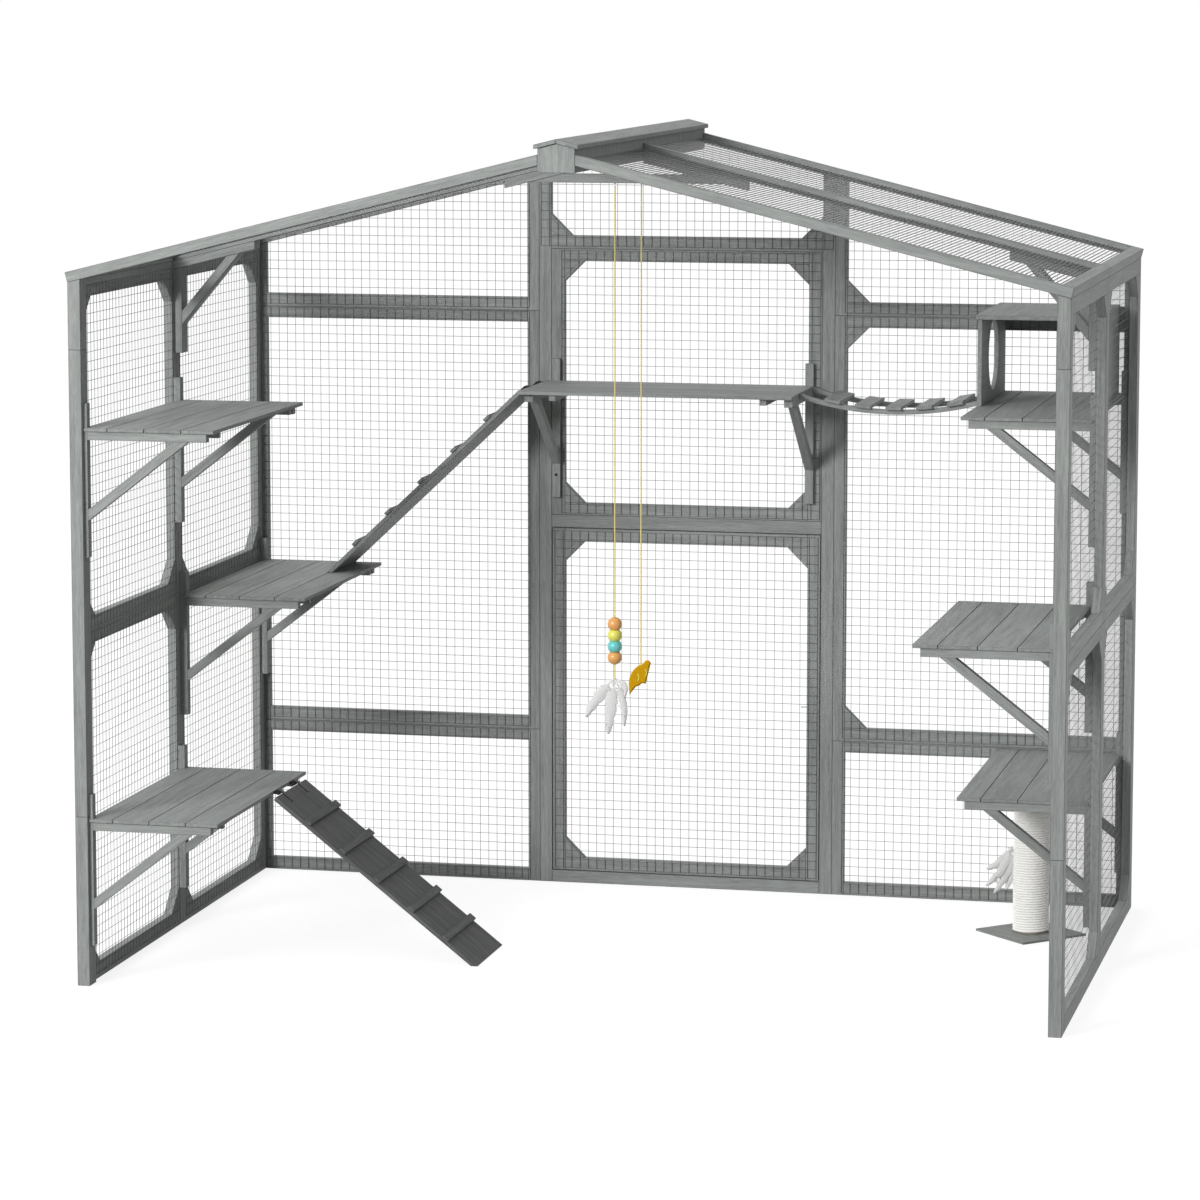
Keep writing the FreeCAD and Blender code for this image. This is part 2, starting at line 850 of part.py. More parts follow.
def side_bracket(side, top, y0, back):
    """Bracket on a side wall; back is where its cleat meets the post or the stile."""
    outlines = bracket_outlines(top, cleat_face, back, shelf_reach - arm_inset)
    solids = []
    for outline in outlines:
        points = [(side * (post_inner_x - u), z) for u, z in outline]
        solids.append(prism_xz(points, y0, y0 + bracket_thickness))
    return solids


stile_back = post_inner_x - wall_inner_x
front_bay_brackets = (
    (wall_front_y - shelf_front_inset - bracket_thickness, 0.0),
    (-bracket_thickness - shelf_rear_inset, stile_back),
)
rear_bay_brackets = (
    (shelf_rear_inset, stile_back),
    (half_depth - wall_rear_stile + rear_stile_inset, stile_back),
)


def plank_spans(depth, edge_plank):
    """Starts and ends of the planks, counted from the free edge; the last one fills what is left."""
    spans = [(0.0, edge_plank)]
    start = edge_plank + plank_seam
    while depth - start > plank_width + plank_least:
        spans.append((start, start + plank_width))
        start += plank_width + plank_seam
    spans.append((start, depth))
    return spans


def side_shelf(side, top, brackets, edge_plank):
    """Planks along the wall, notched round the cleats, with two battens under them."""
    x_wall = post_inner_x
    seat = top - shelf_thickness
    y0 = brackets[0][0] - shelf_end_gap
    y1 = brackets[1][0] + bracket_thickness + shelf_end_gap
    edge = x_wall - shelf_reach
    solids = []
    for near, far in plank_spans(shelf_reach, edge_plank):
        board = box(side * (edge + near), side * (edge + far), y0, y1, seat, top)
        if far == shelf_reach:
            for start, back in brackets:
                notch = box(
                    side * (x_wall - cleat_face - notch_clearance), side * x_wall,
                    start - notch_clearance, start + bracket_thickness + notch_clearance,
                    seat, top)
                board = board.cut(notch)
        solids.append(board)
    batten_x = (side * (edge + batten_inset), side * (x_wall - cleat_face))
    inner = (
        brackets[0][0] + bracket_thickness + batten_gap,
        brackets[1][0] - batten_gap - batten_width,
    )
    for start in inner:
        solids.append(box(*batten_x, start, start + batten_width, seat - batten_thickness, seat))
    return solids


shelves = (
    ("left_top_shelf", -1, top_shelf_height, front_bay_brackets),
    ("left_middle_shelf", -1, left_middle_height, rear_bay_brackets),
    ("left_bottom_shelf", -1, left_bottom_height, front_bay_brackets),
    ("right_top_shelf", 1, top_shelf_height, rear_bay_brackets),
    ("right_middle_shelf", 1, right_middle_height, front_bay_brackets),
    ("right_bottom_shelf", 1, right_bottom_height, rear_bay_brackets),
)
shelf_brackets = {-1: [], 1: []}
for name, side, top, brackets in shelves:
    export(name, side_shelf(side, top, brackets, left_edge_plank if side < 0 else right_edge_plank))
    for y0, back in brackets:
        shelf_brackets[side] += side_bracket(side, top, y0, back)
export("left_shelf_brackets", shelf_brackets[-1])
export("right_shelf_brackets", shelf_brackets[1])

# Long shelf on the rear wall
long_shelf_left = -centre_inner_x - long_shelf_overhang
long_shelf_right = long_shelf_left + long_shelf_length
long_back_y = back_inner_y - wall_gap
long_front_y = long_back_y - long_shelf_depth
mesh_stand_off = mesh_depth + wire_layer_gap
long_cleat_face = cleat_face + mesh_stand_off
long_brackets = (
    (-centre_inner_x + long_bracket_edge, 0),
    (long_shelf_right - long_bracket_end - bracket_thickness, mesh_stand_off),
)


def long_shelf():
    """Planks along the rear wall with two battens under them."""
    seat = long_shelf_height - shelf_thickness
    solids = []
    for near, far in plank_spans(long_shelf_depth, right_edge_plank):
        board = box(
            long_shelf_left, long_shelf_right, long_front_y + near, long_front_y + far,
            seat, long_shelf_height)
        if far == long_shelf_depth:
            for x0, back in long_brackets:
                board = board.cut(box(
                    x0 - notch_clearance, x0 + bracket_thickness + notch_clearance,
                    back_inner_y - long_cleat_face - notch_clearance, back_inner_y,
                    seat, long_shelf_height))
        solids.append(board)
    starts = (
        long_brackets[0][0] + bracket_thickness + batten_gap,
        long_brackets[1][0] - batten_gap - batten_width,
    )
    for x0 in starts:
        solids.append(box(
            x0, x0 + batten_width, long_front_y + batten_inset, back_inner_y - long_cleat_face,
            seat - batten_thickness, seat))
    return solids


def long_bracket(x0, back):
    """Bracket on the rear wall; back is how far its cleat stands off, where it lies on the mesh."""
    reach = long_shelf_depth + wall_gap - arm_inset
    solids = []
    for outline in bracket_outlines(long_shelf_height, long_cleat_face, back, reach):
        points = [(back_inner_y - u, z) for u, z in outline]
        solids.append(prism_yz(points, x0, x0 + bracket_thickness))
    return solids


export("long_shelf", long_shelf())
export("long_shelf_brackets", long_bracket(*long_brackets[0]) + long_bracket(*long_brackets[1]))


# Cat box, open at front and rear, with a round way in from the bridge
def cat_box():
    """Wall with a round hole, plain wall and lid."""
    x0 = post_inner_x - shelf_reach
    x1 = x0 + box_width
    y1 = long_back_y
    y0 = y1 - box_length
    z0 = top_shelf_height
    z1 = z0 + box_height - box_board
    hole_centre = Vector(x0, (y0 + y1) / 2, z0 + box_hole_rise)
    hole = Part.makeCylinder(box_hole_diameter / 2, box_board, hole_centre, Vector(1, 0, 0))
    near = box(x0, x0 + box_board, y0, y1, z0, z1).cut(hole)
    far = box(x1 - box_board, x1, y0, y1, z0, z1)
    lid = box(x0 - box_lid_overhang, x1, y0 - box_lid_overhang, y1, z1, z1 + box_board)
    return [near, far, lid]


export("cat_box", cat_box())


# Ramps
def ramp_frame(pin_x, pin_z, floor_z, run, direction):
    """Points along and square to a ramp that falls from its pin to a floor."""
    drop = pin_z - floor_z - ramp_gap
    length = math.hypot(run, drop)
    along = Vector(direction * run / length, 0, -drop / length)
    up = Vector(direction * drop / length, 0, run / length)

    def point(s, n):
        return Vector(pin_x, 0, pin_z) + along * s + up * n

    def floor_s(n):
        return (drop + up.z * n) / -along.z

    return point, floor_s, length


def ramp_pieces(pin_x, pin_z, floor_z, run, direction, y, width):
    """Board with treads, the straps with their eyes, and the lugs and pins that carry them."""
    point, floor_s, length = ramp_frame(pin_x, pin_z, floor_z, run, direction)
    half = ramp_thickness / 2
    y0 = y - width / 2

    def slab(corners, start, length_y):
        points = [point(s, n) + Vector(0, start, 0) for s, n in corners]
        return polygon_solid(points, Vector(0, length_y, 0))

    board = [slab([
        (ramp_end_gap, -half), (floor_s(-half), -half), (floor_s(half), half), (ramp_end_gap, half),
    ], y0, width)]
    for i in range(tread_count):
        share = tread_first + (tread_last - tread_first) * i / (tread_count - 1)
        s = length * (1 - share) - tread_width / 2
        board.append(slab([
            (s, half), (s + tread_width, half),
            (s + tread_width, half + tread_height), (s, half + tread_height),
        ], y0 - tread_overhang, width + 2 * tread_overhang))
    straps = []
    carriers = []
    eye_half = ramp_eye_width / 2
    lug_start = eye_half + ramp_lug_gap
    edge_x = pin_x - direction * ramp_pin_out
    for offset in (-ramp_hinge_offset, ramp_hinge_offset):
        c = y + offset
        strap = slab([
            (0, half), (ramp_strap_length, half),
            (ramp_strap_length, half + ramp_strap_thickness), (0, half + ramp_strap_thickness),
        ], c - eye_half, ramp_eye_width)
        ring = cylinder_y(ramp_eye_radius, pin_x, pin_z, c - eye_half, c + eye_half)
        bore_radius = ramp_pin_radius + pin_clearance
        bore = cylinder_y(bore_radius, pin_x, pin_z, c - eye_half, c + eye_half)
        straps.append(strap.fuse(ring).cut(bore).removeSplitter())
        outer = lug_start + ramp_lug_thickness
        plate = box(
            edge_x, edge_x + direction * ramp_plate_thickness, c - outer, c + outer,
            pin_z - ramp_lug_half, pin_z + ramp_lug_half)
        lugs = []
        for start in (c - outer, c + lug_start):
            lugs.append(box(
                edge_x, pin_x + direction * ramp_lug_half, start, start + ramp_lug_thickness,
                pin_z - ramp_lug_half, pin_z + ramp_lug_half))
        pin = cylinder_y(ramp_pin_radius, pin_x, pin_z, c - outer, c + outer)
        carriers.append(plate.fuse(lugs + [pin]).removeSplitter())
    return board, straps, carriers


lower_ramp_y = -lower_ramp_inset - lower_ramp_width / 2
upper_ramp_y = long_back_y - upper_ramp_rear_gap - upper_ramp_width / 2
lower_pin_x = -(post_inner_x - shelf_reach) + ramp_pin_out
lower_pin_z = left_bottom_height - shelf_thickness / 2
lower_ramp, lower_straps, lower_carriers = ramp_pieces(
    lower_pin_x, lower_pin_z, 0, lower_ramp_run, 1, lower_ramp_y, lower_ramp_width)
upper_pin_x = long_shelf_left - ramp_pin_out
upper_pin_z = long_shelf_height - shelf_thickness / 2
upper_ramp, upper_straps, upper_carriers = ramp_pieces(
    upper_pin_x, upper_pin_z, left_middle_height, upper_ramp_run, -1, upper_ramp_y, upper_ramp_width)
export("lower_ramp", lower_ramp)
export("lower_ramp_straps", lower_straps)
export("upper_ramp", upper_ramp)
export("upper_ramp_straps", upper_straps)
export("ramp_hinge_lugs", lower_carriers + upper_carriers)

# Slat bridge: two strips bent to an arc, with slats across them
bridge_start = long_shelf_right
bridge_end = post_inner_x - shelf_reach
bridge_mid = (bridge_start + bridge_end) / 2
bridge_half = (bridge_end - bridge_start) / 2
arc_radius = (bridge_half ** 2 + bridge_sag ** 2) / (2 * bridge_sag)
arc_centre_z = top_shelf_height - bridge_sag + arc_radius
slat_front_y = long_back_y - slat_length
bridge_front_y = slat_front_y + (slat_length - bridge_width) / 2


def arc_z(x, radius):
    """Height of the strip's arc of a given radius at x."""
    return arc_centre_z - math.sqrt(radius ** 2 - (x - bridge_mid) ** 2)


def bridge_strip(y0):
    """Strip bent to the arc, with plumb ends against the two shelves."""
    lower = arc_radius + strip_depth

    def corner(x, radius):
        return Vector(x, y0, arc_z(x, radius))

    top_left = corner(bridge_start, arc_radius)
    top_right = corner(bridge_end, arc_radius)
    low_left = corner(bridge_start, lower)
    low_right = corner(bridge_end, lower)
    edges = [
        Part.Arc(top_left, corner(bridge_mid, arc_radius), top_right).toShape(),
        Part.makeLine(top_right, low_right),
        Part.Arc(low_right, corner(bridge_mid, lower), low_left).toShape(),
        Part.makeLine(low_left, top_left),
    ]
    return Part.Face(Part.Wire(edges)).extrude(Vector(0, strip_width, 0))


def bridge_slat(i):
    """Slat that lies on both strips with its two long edges."""
    angle = math.asin((i - (slat_count - 1) / 2) * slat_spacing / arc_radius)
    seat = math.sqrt(arc_radius ** 2 - (slat_width / 2) ** 2)
    corner = Vector(-slat_width / 2, slat_front_y, -seat)
    slat = Part.makeBox(slat_width, slat_length, slat_thickness, corner)
    slat.rotate(Vector(0, 0, 0), Vector(0, 1, 0), -math.degrees(angle))
    slat.translate(Vector(bridge_mid, 0, arc_centre_z))
    return slat


rear_strip_y = bridge_front_y + bridge_width - strip_width
export("bridge_strips", [bridge_strip(bridge_front_y), bridge_strip(rear_strip_y)])
export("bridge_slats", [bridge_slat(i) for i in range(slat_count)])

# Scratching post under the bottom right shelf
scratch_top = right_bottom_height - shelf_thickness
scratch_x = post_inner_x - scratch_inset
scratch_y = half_depth - scratch_rear_distance
scratch_centre = Vector(scratch_x, scratch_y, 0)
rope_radius = rope_diameter / 2
core_radius = scratch_radius - rope_diameter - rope_core_gap
wind_radius = scratch_radius - rope_radius
wind_low = scratch_base_thickness + rope_radius + rope_end_gap
wind_high = scratch_top - rope_radius - rope_end_gap
wind_pitch = (wind_high - wind_low) / rope_turns


def scratch_base():
    """Square base plate set cornerwise to the room."""
    side = scratch_base_side
    plate = box(-side / 2, side / 2, -side / 2, side / 2, 0, scratch_base_thickness)
    plate.rotate(Vector(0, 0, 0), Vector(0, 0, 1), 45)
    plate.translate(scratch_centre)
    return plate


def helix_point(turn):
    """Point on the middle line of the winding."""
    angle = 2 * math.pi * turn
    return scratch_centre + Vector(
        wind_radius * math.cos(angle), wind_radius * math.sin(angle), wind_low + wind_pitch * turn)


def helix_tangent(turn):
    """Direction of the winding."""
    angle = 2 * math.pi * turn
    around = 2 * math.pi * wind_radius
    direction = Vector(-around * math.sin(angle), around * math.cos(angle), wind_pitch)
    return direction.normalize()


def tangent_arc(start, corner, end):
    """Arc between two points whose end tangents meet in a corner."""
    middle = (start + end) * 0.5
    half_chord = (end - start).Length / 2
    half_turn = math.acos(half_chord / (corner - start).Length)
    outward = (corner - middle).normalize()
    top = middle + outward * (half_chord * math.tan(half_turn / 2))
    return Part.Arc(start, top, end).toShape()


def biarc(p0, t0, p1, t1):
    """Two arcs, tangent to each other, between two points with given directions."""
    v = p1 - p0
    t = t0 + t1
    bend = 2 * (1 - t0.dot(t1))
    reach = v.dot(t)
    d = (math.sqrt(reach ** 2 + bend * v.dot(v)) - reach) / bend
    q0 = p0 + t0 * d
    q1 = p1 - t1 * d
    joint = (q0 + q1) * 0.5
    return [tangent_arc(p0, q0, joint), tangent_arc(joint, q1, p1)]


def sisal_winding():
    """One rope wound up the post on biarcs of half a turn, with straight ends."""
    steps = 2 * rope_turns
    first = helix_point(0)
    last = helix_point(rope_turns)
    edges = [Part.makeLine(first - helix_tangent(0) * rope_diameter, first)]
    for i in range(steps):
        a = i / 2
        b = (i + 1) / 2
        edges += biarc(helix_point(a), helix_tangent(a), helix_point(b), helix_tangent(b))
    edges.append(Part.makeLine(last, last + helix_tangent(rope_turns) * rope_diameter))
    path = Part.Wire(edges)
    start = first - helix_tangent(0) * rope_diameter
    along = helix_tangent(0)
    across = Vector(0, 0, 1).cross(along).normalize()
    upward = along.cross(across)
    corners = []
    for i in range(rope_sides):
        angle = 2 * math.pi * i / rope_sides
        sideways = across * (rope_radius * math.cos(angle))
        corners.append(start + sideways + upward * (rope_radius * math.sin(angle)))
    section = Part.makePolygon(corners + [corners[0]])
    return path.makePipeShell([section], True, False)


def winding_gap():
    """Least gap between turns of the winding, measured on points of its middle line."""
    per_turn = 36
    points = [helix_point(i / per_turn) for i in range(per_turn * rope_turns + 1)]
    pairs = zip(points, points[per_turn:])
    return min((b - a).Length for a, b in pairs) - rope_diameter


export("scratch_base", [scratch_base()])
core_height = scratch_top - scratch_base_thickness
core_foot = scratch_centre + Vector(0, 0, scratch_base_thickness)
export("scratch_core", [Part.makeCylinder(core_radius, core_height, core_foot)])
winding = sisal_winding()
print("winding valid", winding.isValid(), "volume", round(winding.Volume), "gap", round(winding_gap(), 2))
export("scratch_sisal", [winding])


# Feather tufts
def feather(foot, angle, layer):
    """Flat plume, widest at its belly, leaning by an angle from plumb."""
    half = feather_width / 2
    belly = feather_belly * feather_length
    upper = belly / 2
    lower = (belly + feather_length) / 2
    shares = ((0, 0), (feather_shoulder, upper), (1, belly), (feather_shoulder, lower))
    right = [Vector(share * half, 0, -drop) for share, drop in shares]
    left = [Vector(-share * half, 0, -drop) for share, drop in reversed(shares[1:])]
    outline = right + [Vector(0, 0, -feather_length)] + left
    plume = polygon_solid(outline, Vector(0, feather_thickness, 0))
    plume.rotate(Vector(0, 0, 0), Vector(0, 1, 0), angle)
    plume.translate(foot + Vector(0, layer * feather_layer - feather_thickness / 2, 0))
    return plume


def tuft(top, angles):
    """Binding with plumes fanned out below it, each in a layer of its own."""
    foot = top - Vector(0, 0, feather_binding_height)
    binding = Part.makeCylinder(feather_binding_radius, feather_binding_height, foot)
    root = foot - Vector(0, 0, feather_root_gap)
    middle = (len(angles) - 1) / 2
    plumes = [feather(root, angle, i - middle) for i, angle in enumerate(angles)]
    return [binding] + plumes


tuft_x = scratch_x - scratch_radius - scratch_tuft_gap - feather_binding_radius
export("scratch_feathers", tuft(Vector(tuft_x, scratch_y, scratch_tuft_height), scratch_plume_angles))

# Hanging toys under the tie of the collar
left_toy_x = toy_centre_x - toy_spread
right_toy_x = toy_centre_x + toy_spread
eye_z = tie_low - eye_radius - eye_wire
cord_top = eye_z - eye_radius - eye_wire - cord_gap


def screw_eye(x):
    """Ring under the tie, round the axis on which its toy swings."""
    foot = Vector(x - eye_wire, 0, eye_z)
    width = 2 * eye_wire
    outer = Part.makeCylinder(eye_radius + eye_wire, width, foot, Vector(1, 0, 0))
    return outer.cut(Part.makeCylinder(eye_radius - eye_wire, width, foot, Vector(1, 0, 0)))


def bead(x, z):
    """Bead lofted in flat facets between two flat ends."""
    half = bead_height / 2
    rings = (
        (bead_flat_radius, -half),
        (bead_shoulder_radius, -bead_shoulder_height),
        (bead_radius, 0),
        (bead_shoulder_radius, bead_shoulder_height),
        (bead_flat_radius, half),
    )
    outlines = []
    for radius, rise in rings:
        points = []
        for i in range(bead_sides + 1):
            angle = 2 * math.pi * (i % bead_sides) / bead_sides
            points.append(Vector(x + radius * math.cos(angle), radius * math.sin(angle), z + rise))
        outlines.append(Part.makePolygon(points))
    return Part.makeLoft(outlines, True, True)


def fish(x, top):
    """Flat fish that hangs slanting from a seat on its back: round head, ragged tail."""
    def at(place):
        return Vector(x + place[0], -fish_thickness / 2, top + place[1])

    seat = (fish_seat / 2, 0)
    seat_end = (-fish_seat / 2, 0)
    corners = [at(place) for place in (fish_head[2],) + fish_tail + (fish_back[0],)]
    edges = [
        Part.makeLine(at(seat_end), at(seat)),
        Part.makeLine(at(seat), at(fish_head[0])),
        Part.Arc(*[at(place) for place in fish_head]).toShape(),
    ]
    edges += [Part.makeLine(a, b) for a, b in zip(corners, corners[1:])]
    edges.append(Part.Arc(at(fish_back[0]), at(fish_back[1]), at(seat_end)).toShape())
    return Part.Face(Part.Wire(edges)).extrude(Vector(0, fish_thickness, 0))


def hanging_cord(x, top, length):
    """Straight cord under the weight of a toy."""
    return Part.makeCylinder(cord_radius, length, Vector(x, 0, top - length))


bead_top = cord_top - left_cord_length
beads = []
for i in range(bead_count):
    beads.append(bead(left_toy_x, bead_top - bead_height / 2 - i * (bead_height + bead_gap)))
tuft_cord_top = bead_top - bead_count * bead_height - (bead_count - 1) * bead_gap
tuft_top = tuft_cord_top - tuft_cord_length
left_cords = [
    hanging_cord(left_toy_x, cord_top, left_cord_length),
    hanging_cord(left_toy_x, tuft_cord_top, tuft_cord_length),
]
export("toy_eyes", [screw_eye(left_toy_x), screw_eye(right_toy_x)])
export("left_toy_cord", left_cords)
export("toy_beads", beads)
export("toy_feathers", tuft(Vector(left_toy_x, 0, tuft_top), toy_plume_angles))
export("right_toy_cord", [hanging_cord(right_toy_x, cord_top, right_cord_length)])
export("toy_fish", [fish(right_toy_x, cord_top - right_cord_length)])
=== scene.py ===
"""Outdoor cat enclosure: stained timber frame, welded mesh, clear roof, shelves, ramps and toys."""

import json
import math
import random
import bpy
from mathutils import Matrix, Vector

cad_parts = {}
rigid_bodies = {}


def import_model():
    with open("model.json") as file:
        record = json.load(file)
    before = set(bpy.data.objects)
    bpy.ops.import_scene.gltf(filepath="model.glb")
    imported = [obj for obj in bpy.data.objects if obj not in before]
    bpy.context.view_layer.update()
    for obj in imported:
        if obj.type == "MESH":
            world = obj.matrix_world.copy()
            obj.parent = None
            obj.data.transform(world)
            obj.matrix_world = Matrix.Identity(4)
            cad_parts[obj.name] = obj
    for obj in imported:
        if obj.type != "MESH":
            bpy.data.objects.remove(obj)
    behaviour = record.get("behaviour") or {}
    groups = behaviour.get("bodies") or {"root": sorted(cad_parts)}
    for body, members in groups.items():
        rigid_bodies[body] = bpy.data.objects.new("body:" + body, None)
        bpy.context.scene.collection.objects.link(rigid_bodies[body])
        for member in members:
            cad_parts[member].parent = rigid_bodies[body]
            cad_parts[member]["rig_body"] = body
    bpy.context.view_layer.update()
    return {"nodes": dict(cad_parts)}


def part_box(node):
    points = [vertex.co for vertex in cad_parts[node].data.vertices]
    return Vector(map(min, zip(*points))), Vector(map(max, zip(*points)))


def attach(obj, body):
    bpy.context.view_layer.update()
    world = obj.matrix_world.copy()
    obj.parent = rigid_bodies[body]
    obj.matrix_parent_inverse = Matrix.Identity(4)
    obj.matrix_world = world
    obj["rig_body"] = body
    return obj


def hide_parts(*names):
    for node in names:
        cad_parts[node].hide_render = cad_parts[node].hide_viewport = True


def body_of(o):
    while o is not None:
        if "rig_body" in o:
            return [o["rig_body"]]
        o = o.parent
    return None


bl_info = {
    "name": "Outdoor Cat Enclosure",
    "version": (1, 0, 0),
    "blender": (4, 5, 0),
    "location": "3D View > Sidebar > Enclosure",
    "description": "Dresses the construction model of a walk-in cat enclosure",
    "category": "Object",
}

import bmesh
import bpy
from mathutils import Matrix, Vector

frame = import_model()

# Timber pieces that are dressed from their construction solids

FRAME_TIMBER = (
    "front_posts", "left_lower_wall_panel", "right_lower_wall_panel", "left_upper_wall_panel",
    "right_upper_wall_panel", "left_wall_gussets", "right_wall_gussets", "back_left_frames",
    "back_right_frames", "centre_frame", "upper_infill_frame", "back_gussets", "door_frame",
    "door_gussets",
)
ROOF_TIMBER = (
    "roof_rafters", "eave_rails", "ridge_boards", "ridge_cap", "roof_collar", "roof_knees",
)
SHELF_TIMBER = (
    "left_top_shelf", "left_middle_shelf", "left_bottom_shelf", "right_top_shelf",
    "right_middle_shelf", "right_bottom_shelf", "left_shelf_brackets", "right_shelf_brackets",
    "long_shelf", "long_shelf_brackets", "cat_box", "bridge_slats", "bridge_strips",
    "scratch_base",
)
UPRIGHT_GRAIN = ("ridge_boards",)
STEEL_FITTINGS = (
    "door_hinge_fixed_leaves", "door_hinge_door_leaves", "bolt_body", "bolt_rod", "bolt_keeper",
    "toy_eyes",
)
BLACK_FITTINGS = ("ramp_hinge_lugs", "lower_ramp_straps", "upper_ramp_straps")

# Places read from the construction model, in metres

EAVE_HEIGHT = 1.834
HALF_WIDTH = 1.285
ROOF_ANGLE = math.radians(14.04)
RIDGE_FACE = 0.048
MIDDLE_RAFTER = 0.011
SHEET_SEAT = 0.0104
WALL_FACE = 1.261
BACK_FACE = 0.778
POST_CENTRE = Vector((1.053, 0.390, 0.0))
POST_TUFT = Vector((1.0, 0.388, 0.243))
CLEAT_SCREW = Vector((-0.377, 0.7648, 1.191))

# Openings that the mesh spans, as low and high ends in metres

WALL_BANDS = ((0.044, 0.8905), (0.9615, 1.792))
WALL_FRONT_BAY = (-0.749, -0.032)
WALL_REAR_BAY = (0.032, 0.736)
COLUMN_BANDS = ((0.0365, 0.414), (0.485, 1.628))
COLUMN_SIDES = (0.464, 1.255)
COLUMN_GABLE_LOW = 1.699
INFILL_BAND = (1.110, 1.804)
INFILL_SIDES = (-0.363, 0.388)
GABLE_SIDES = (-0.393, 0.393)
GABLE_LOW, GABLE_TOP = 1.877, 2.1243
GABLE_LAP = 0.008
DOOR_BAND = (0.074, 0.998)
DOOR_SIDES = (-0.354, 0.354)

# Shares of the grain: broad and fine streaks, their lift, stained patches and odd boards

BROAD_STREAKS, FINE_STREAKS, STREAK_LIFT = 0.45, 0.55, 2.4
PATCH_LIFT, BOARD_LIFT = 0.22, 0.14
RAMP_STREAKS = 1.7

# Colours of plastic, steel and card; the clear ribs get a dark grey that paints the shade
# refraction gives them

CLEAR_SKIN, RIB_PAINTED_SHADE = (0.86, 0.88, 0.88), (0.085, 0.088, 0.088)
PLATED_STEEL, BLACK_STEEL = (0.52, 0.53, 0.54), (0.02, 0.02, 0.02)
CARD = (0.44, 0.36, 0.27)

# How far apart boards lie in the timber, and the stretch and shade of their end grain

GRAIN_SPREAD, END_STRETCH, END_SHADE = 40, 14.0, 0.5

# Mesh: how far uprights stand off the frame in wire radii, and the shortest wire

WELD_DEPTH, SHORTEST_WIRE = 3.2, 0.02

# Rope: steps of a turn, its half width and its overlap on the core as shares of its thickness

ROPE_STEPS, ROPE_SQUASH, ROPE_BED = 40, 0.54, 0.45

# Vane of a feather: where it starts on the quill, its reach, its sweep and its ragged widths

VANE_START, VANE_REACH, VANE_SWEEP = 0.12, 0.84, 0.07
RAGGED_WIDTHS = (1.0, 0.94, 1.05, 0.72)
VANE_THICKNESS, VANE_CUP = 0.0007, 0.004

# Quill, down and screw: parts and radii in metres

QUILL_PARTS, QUILL_RADIUS = 8, 0.0009
DOWN_STRANDS, STRAND_ROOT, STRAND_TIP = 16, 0.0008, 0.0003
SCREW_RADIUS, SCREW_RISE = 0.0042, 0.0012

# Beads: paints from the top down, parts of a rim and of a turn, radius of the bore and gap

BEAD_PAINTS = (0, 1, 2, 0)
BEAD_PARTS, BEAD_TURNS, BEAD_BORE, BEAD_GAP = 16, 36, 0.0022, 0.0001

# Fish: steps of inset and swell on its flanks, its thin rim, and stitches off the cord's end

FISH_SWELL = ((0.0018, 0.62), (0.0022, 1.0))
FISH_RIM = 0.28
FISH_STITCHES = ((-0.0172, -0.0345), (0.0039, -0.0210))
STITCH_RADIUS, STITCH_BEND = 0.0014, 0.013

# Plumes of the post's tuft: half width and bend, then lean in degrees, length and slant

POST_PLUME_WIDTH, POST_PLUME_BEND = 0.013, -0.012
POST_PLUMES = (
    (8, 0.125, 0.02),
    (20, 0.142, -0.05),
    (32, 0.132, -0.12),
    (46, 0.098, -0.02),
)

# Plumes of the hanging tuft: reach across and down from the root, half width and bend

TOY_PLUMES = (
    (0.026, 0.130, 0.011, -0.010),
    (-0.080, 0.108, 0.017, 0.006),
    (-0.018, 0.152, 0.018, 0.001),
    (0.028, 0.052, 0.009, -0.016),
)

# Stage: the sky's lean to the left and least strength, the floor's grey, glow and drop

SKY_LEAN, SKY_LEAST = 0.8, 0.06
FLOOR_GREY, FLOOR_GLOW, FLOOR_DROP = 0.24, 0.84, 0.0004
BACK_LIGHT_LINE = Vector((0.62, -0.78, -0.06))


def roof_under(x):
    """Height of the rafters' underside at a distance from the middle of the roof."""
    return EAVE_HEIGHT + (HALF_WIDTH - abs(x)) * math.tan(ROOF_ANGLE)


def colour_setting(name, description, default):
    """A colour that a user can change."""
    return bpy.props.FloatVectorProperty(
        name=name, description=description, default=default, subtype="COLOR", min=0.0, max=1.0
    )


def number_setting(name, description, default, **kind):
    """A number that a user can change; kind holds its unit and limits."""
    return bpy.props.FloatProperty(name=name, description=description, default=default, **kind)


def share_setting(name, description, default):
    """A share from none to all that a user can change."""
    return number_setting(name, description, default, subtype="FACTOR", min=0.0, max=1.0)


def length_setting(name, description, default, least, most):
    """A length that a user can change between two limits."""
    return number_setting(name, description, default, unit="LENGTH", min=least, max=most)


class TimberSettings(bpy.types.PropertyGroup):
    """Stain and edges of the timber."""

    stain: colour_setting(
        "Stain", "Grey stain of the frames, shelves and roof timber", (0.275, 0.290, 0.280)
    )
    # The lower ramp's darker stain is partly painted shade, the shade that falls on its slope
    ramp_stain_and_shade: colour_setting(
        "Ramp stain and shade", "Darker stain of the lower ramp", (0.105, 0.110, 0.107)
    )
    edge_round: length_setting(
        "Edge rounding", "Radius of the eased edges of the boards", 0.0012, 0.0002, 0.003
    )
    shelf_edge: length_setting(
        "Shelf edge rounding",
        "Radius of the eased edges of shelf boards and brackets",
        0.0006,
        0.0002,
        0.003,
    )
    # Eased edges are painted darker: partly stain, partly painted shade in the joints between
    # boards
    edge_stain_and_shade: share_setting(
        "Edge stain", "How much darker the stain is along the eased edges", 0.4
    )
    grain_contrast: share_setting(
        "Grain contrast", "How far the grain departs from the stain", 0.85
    )


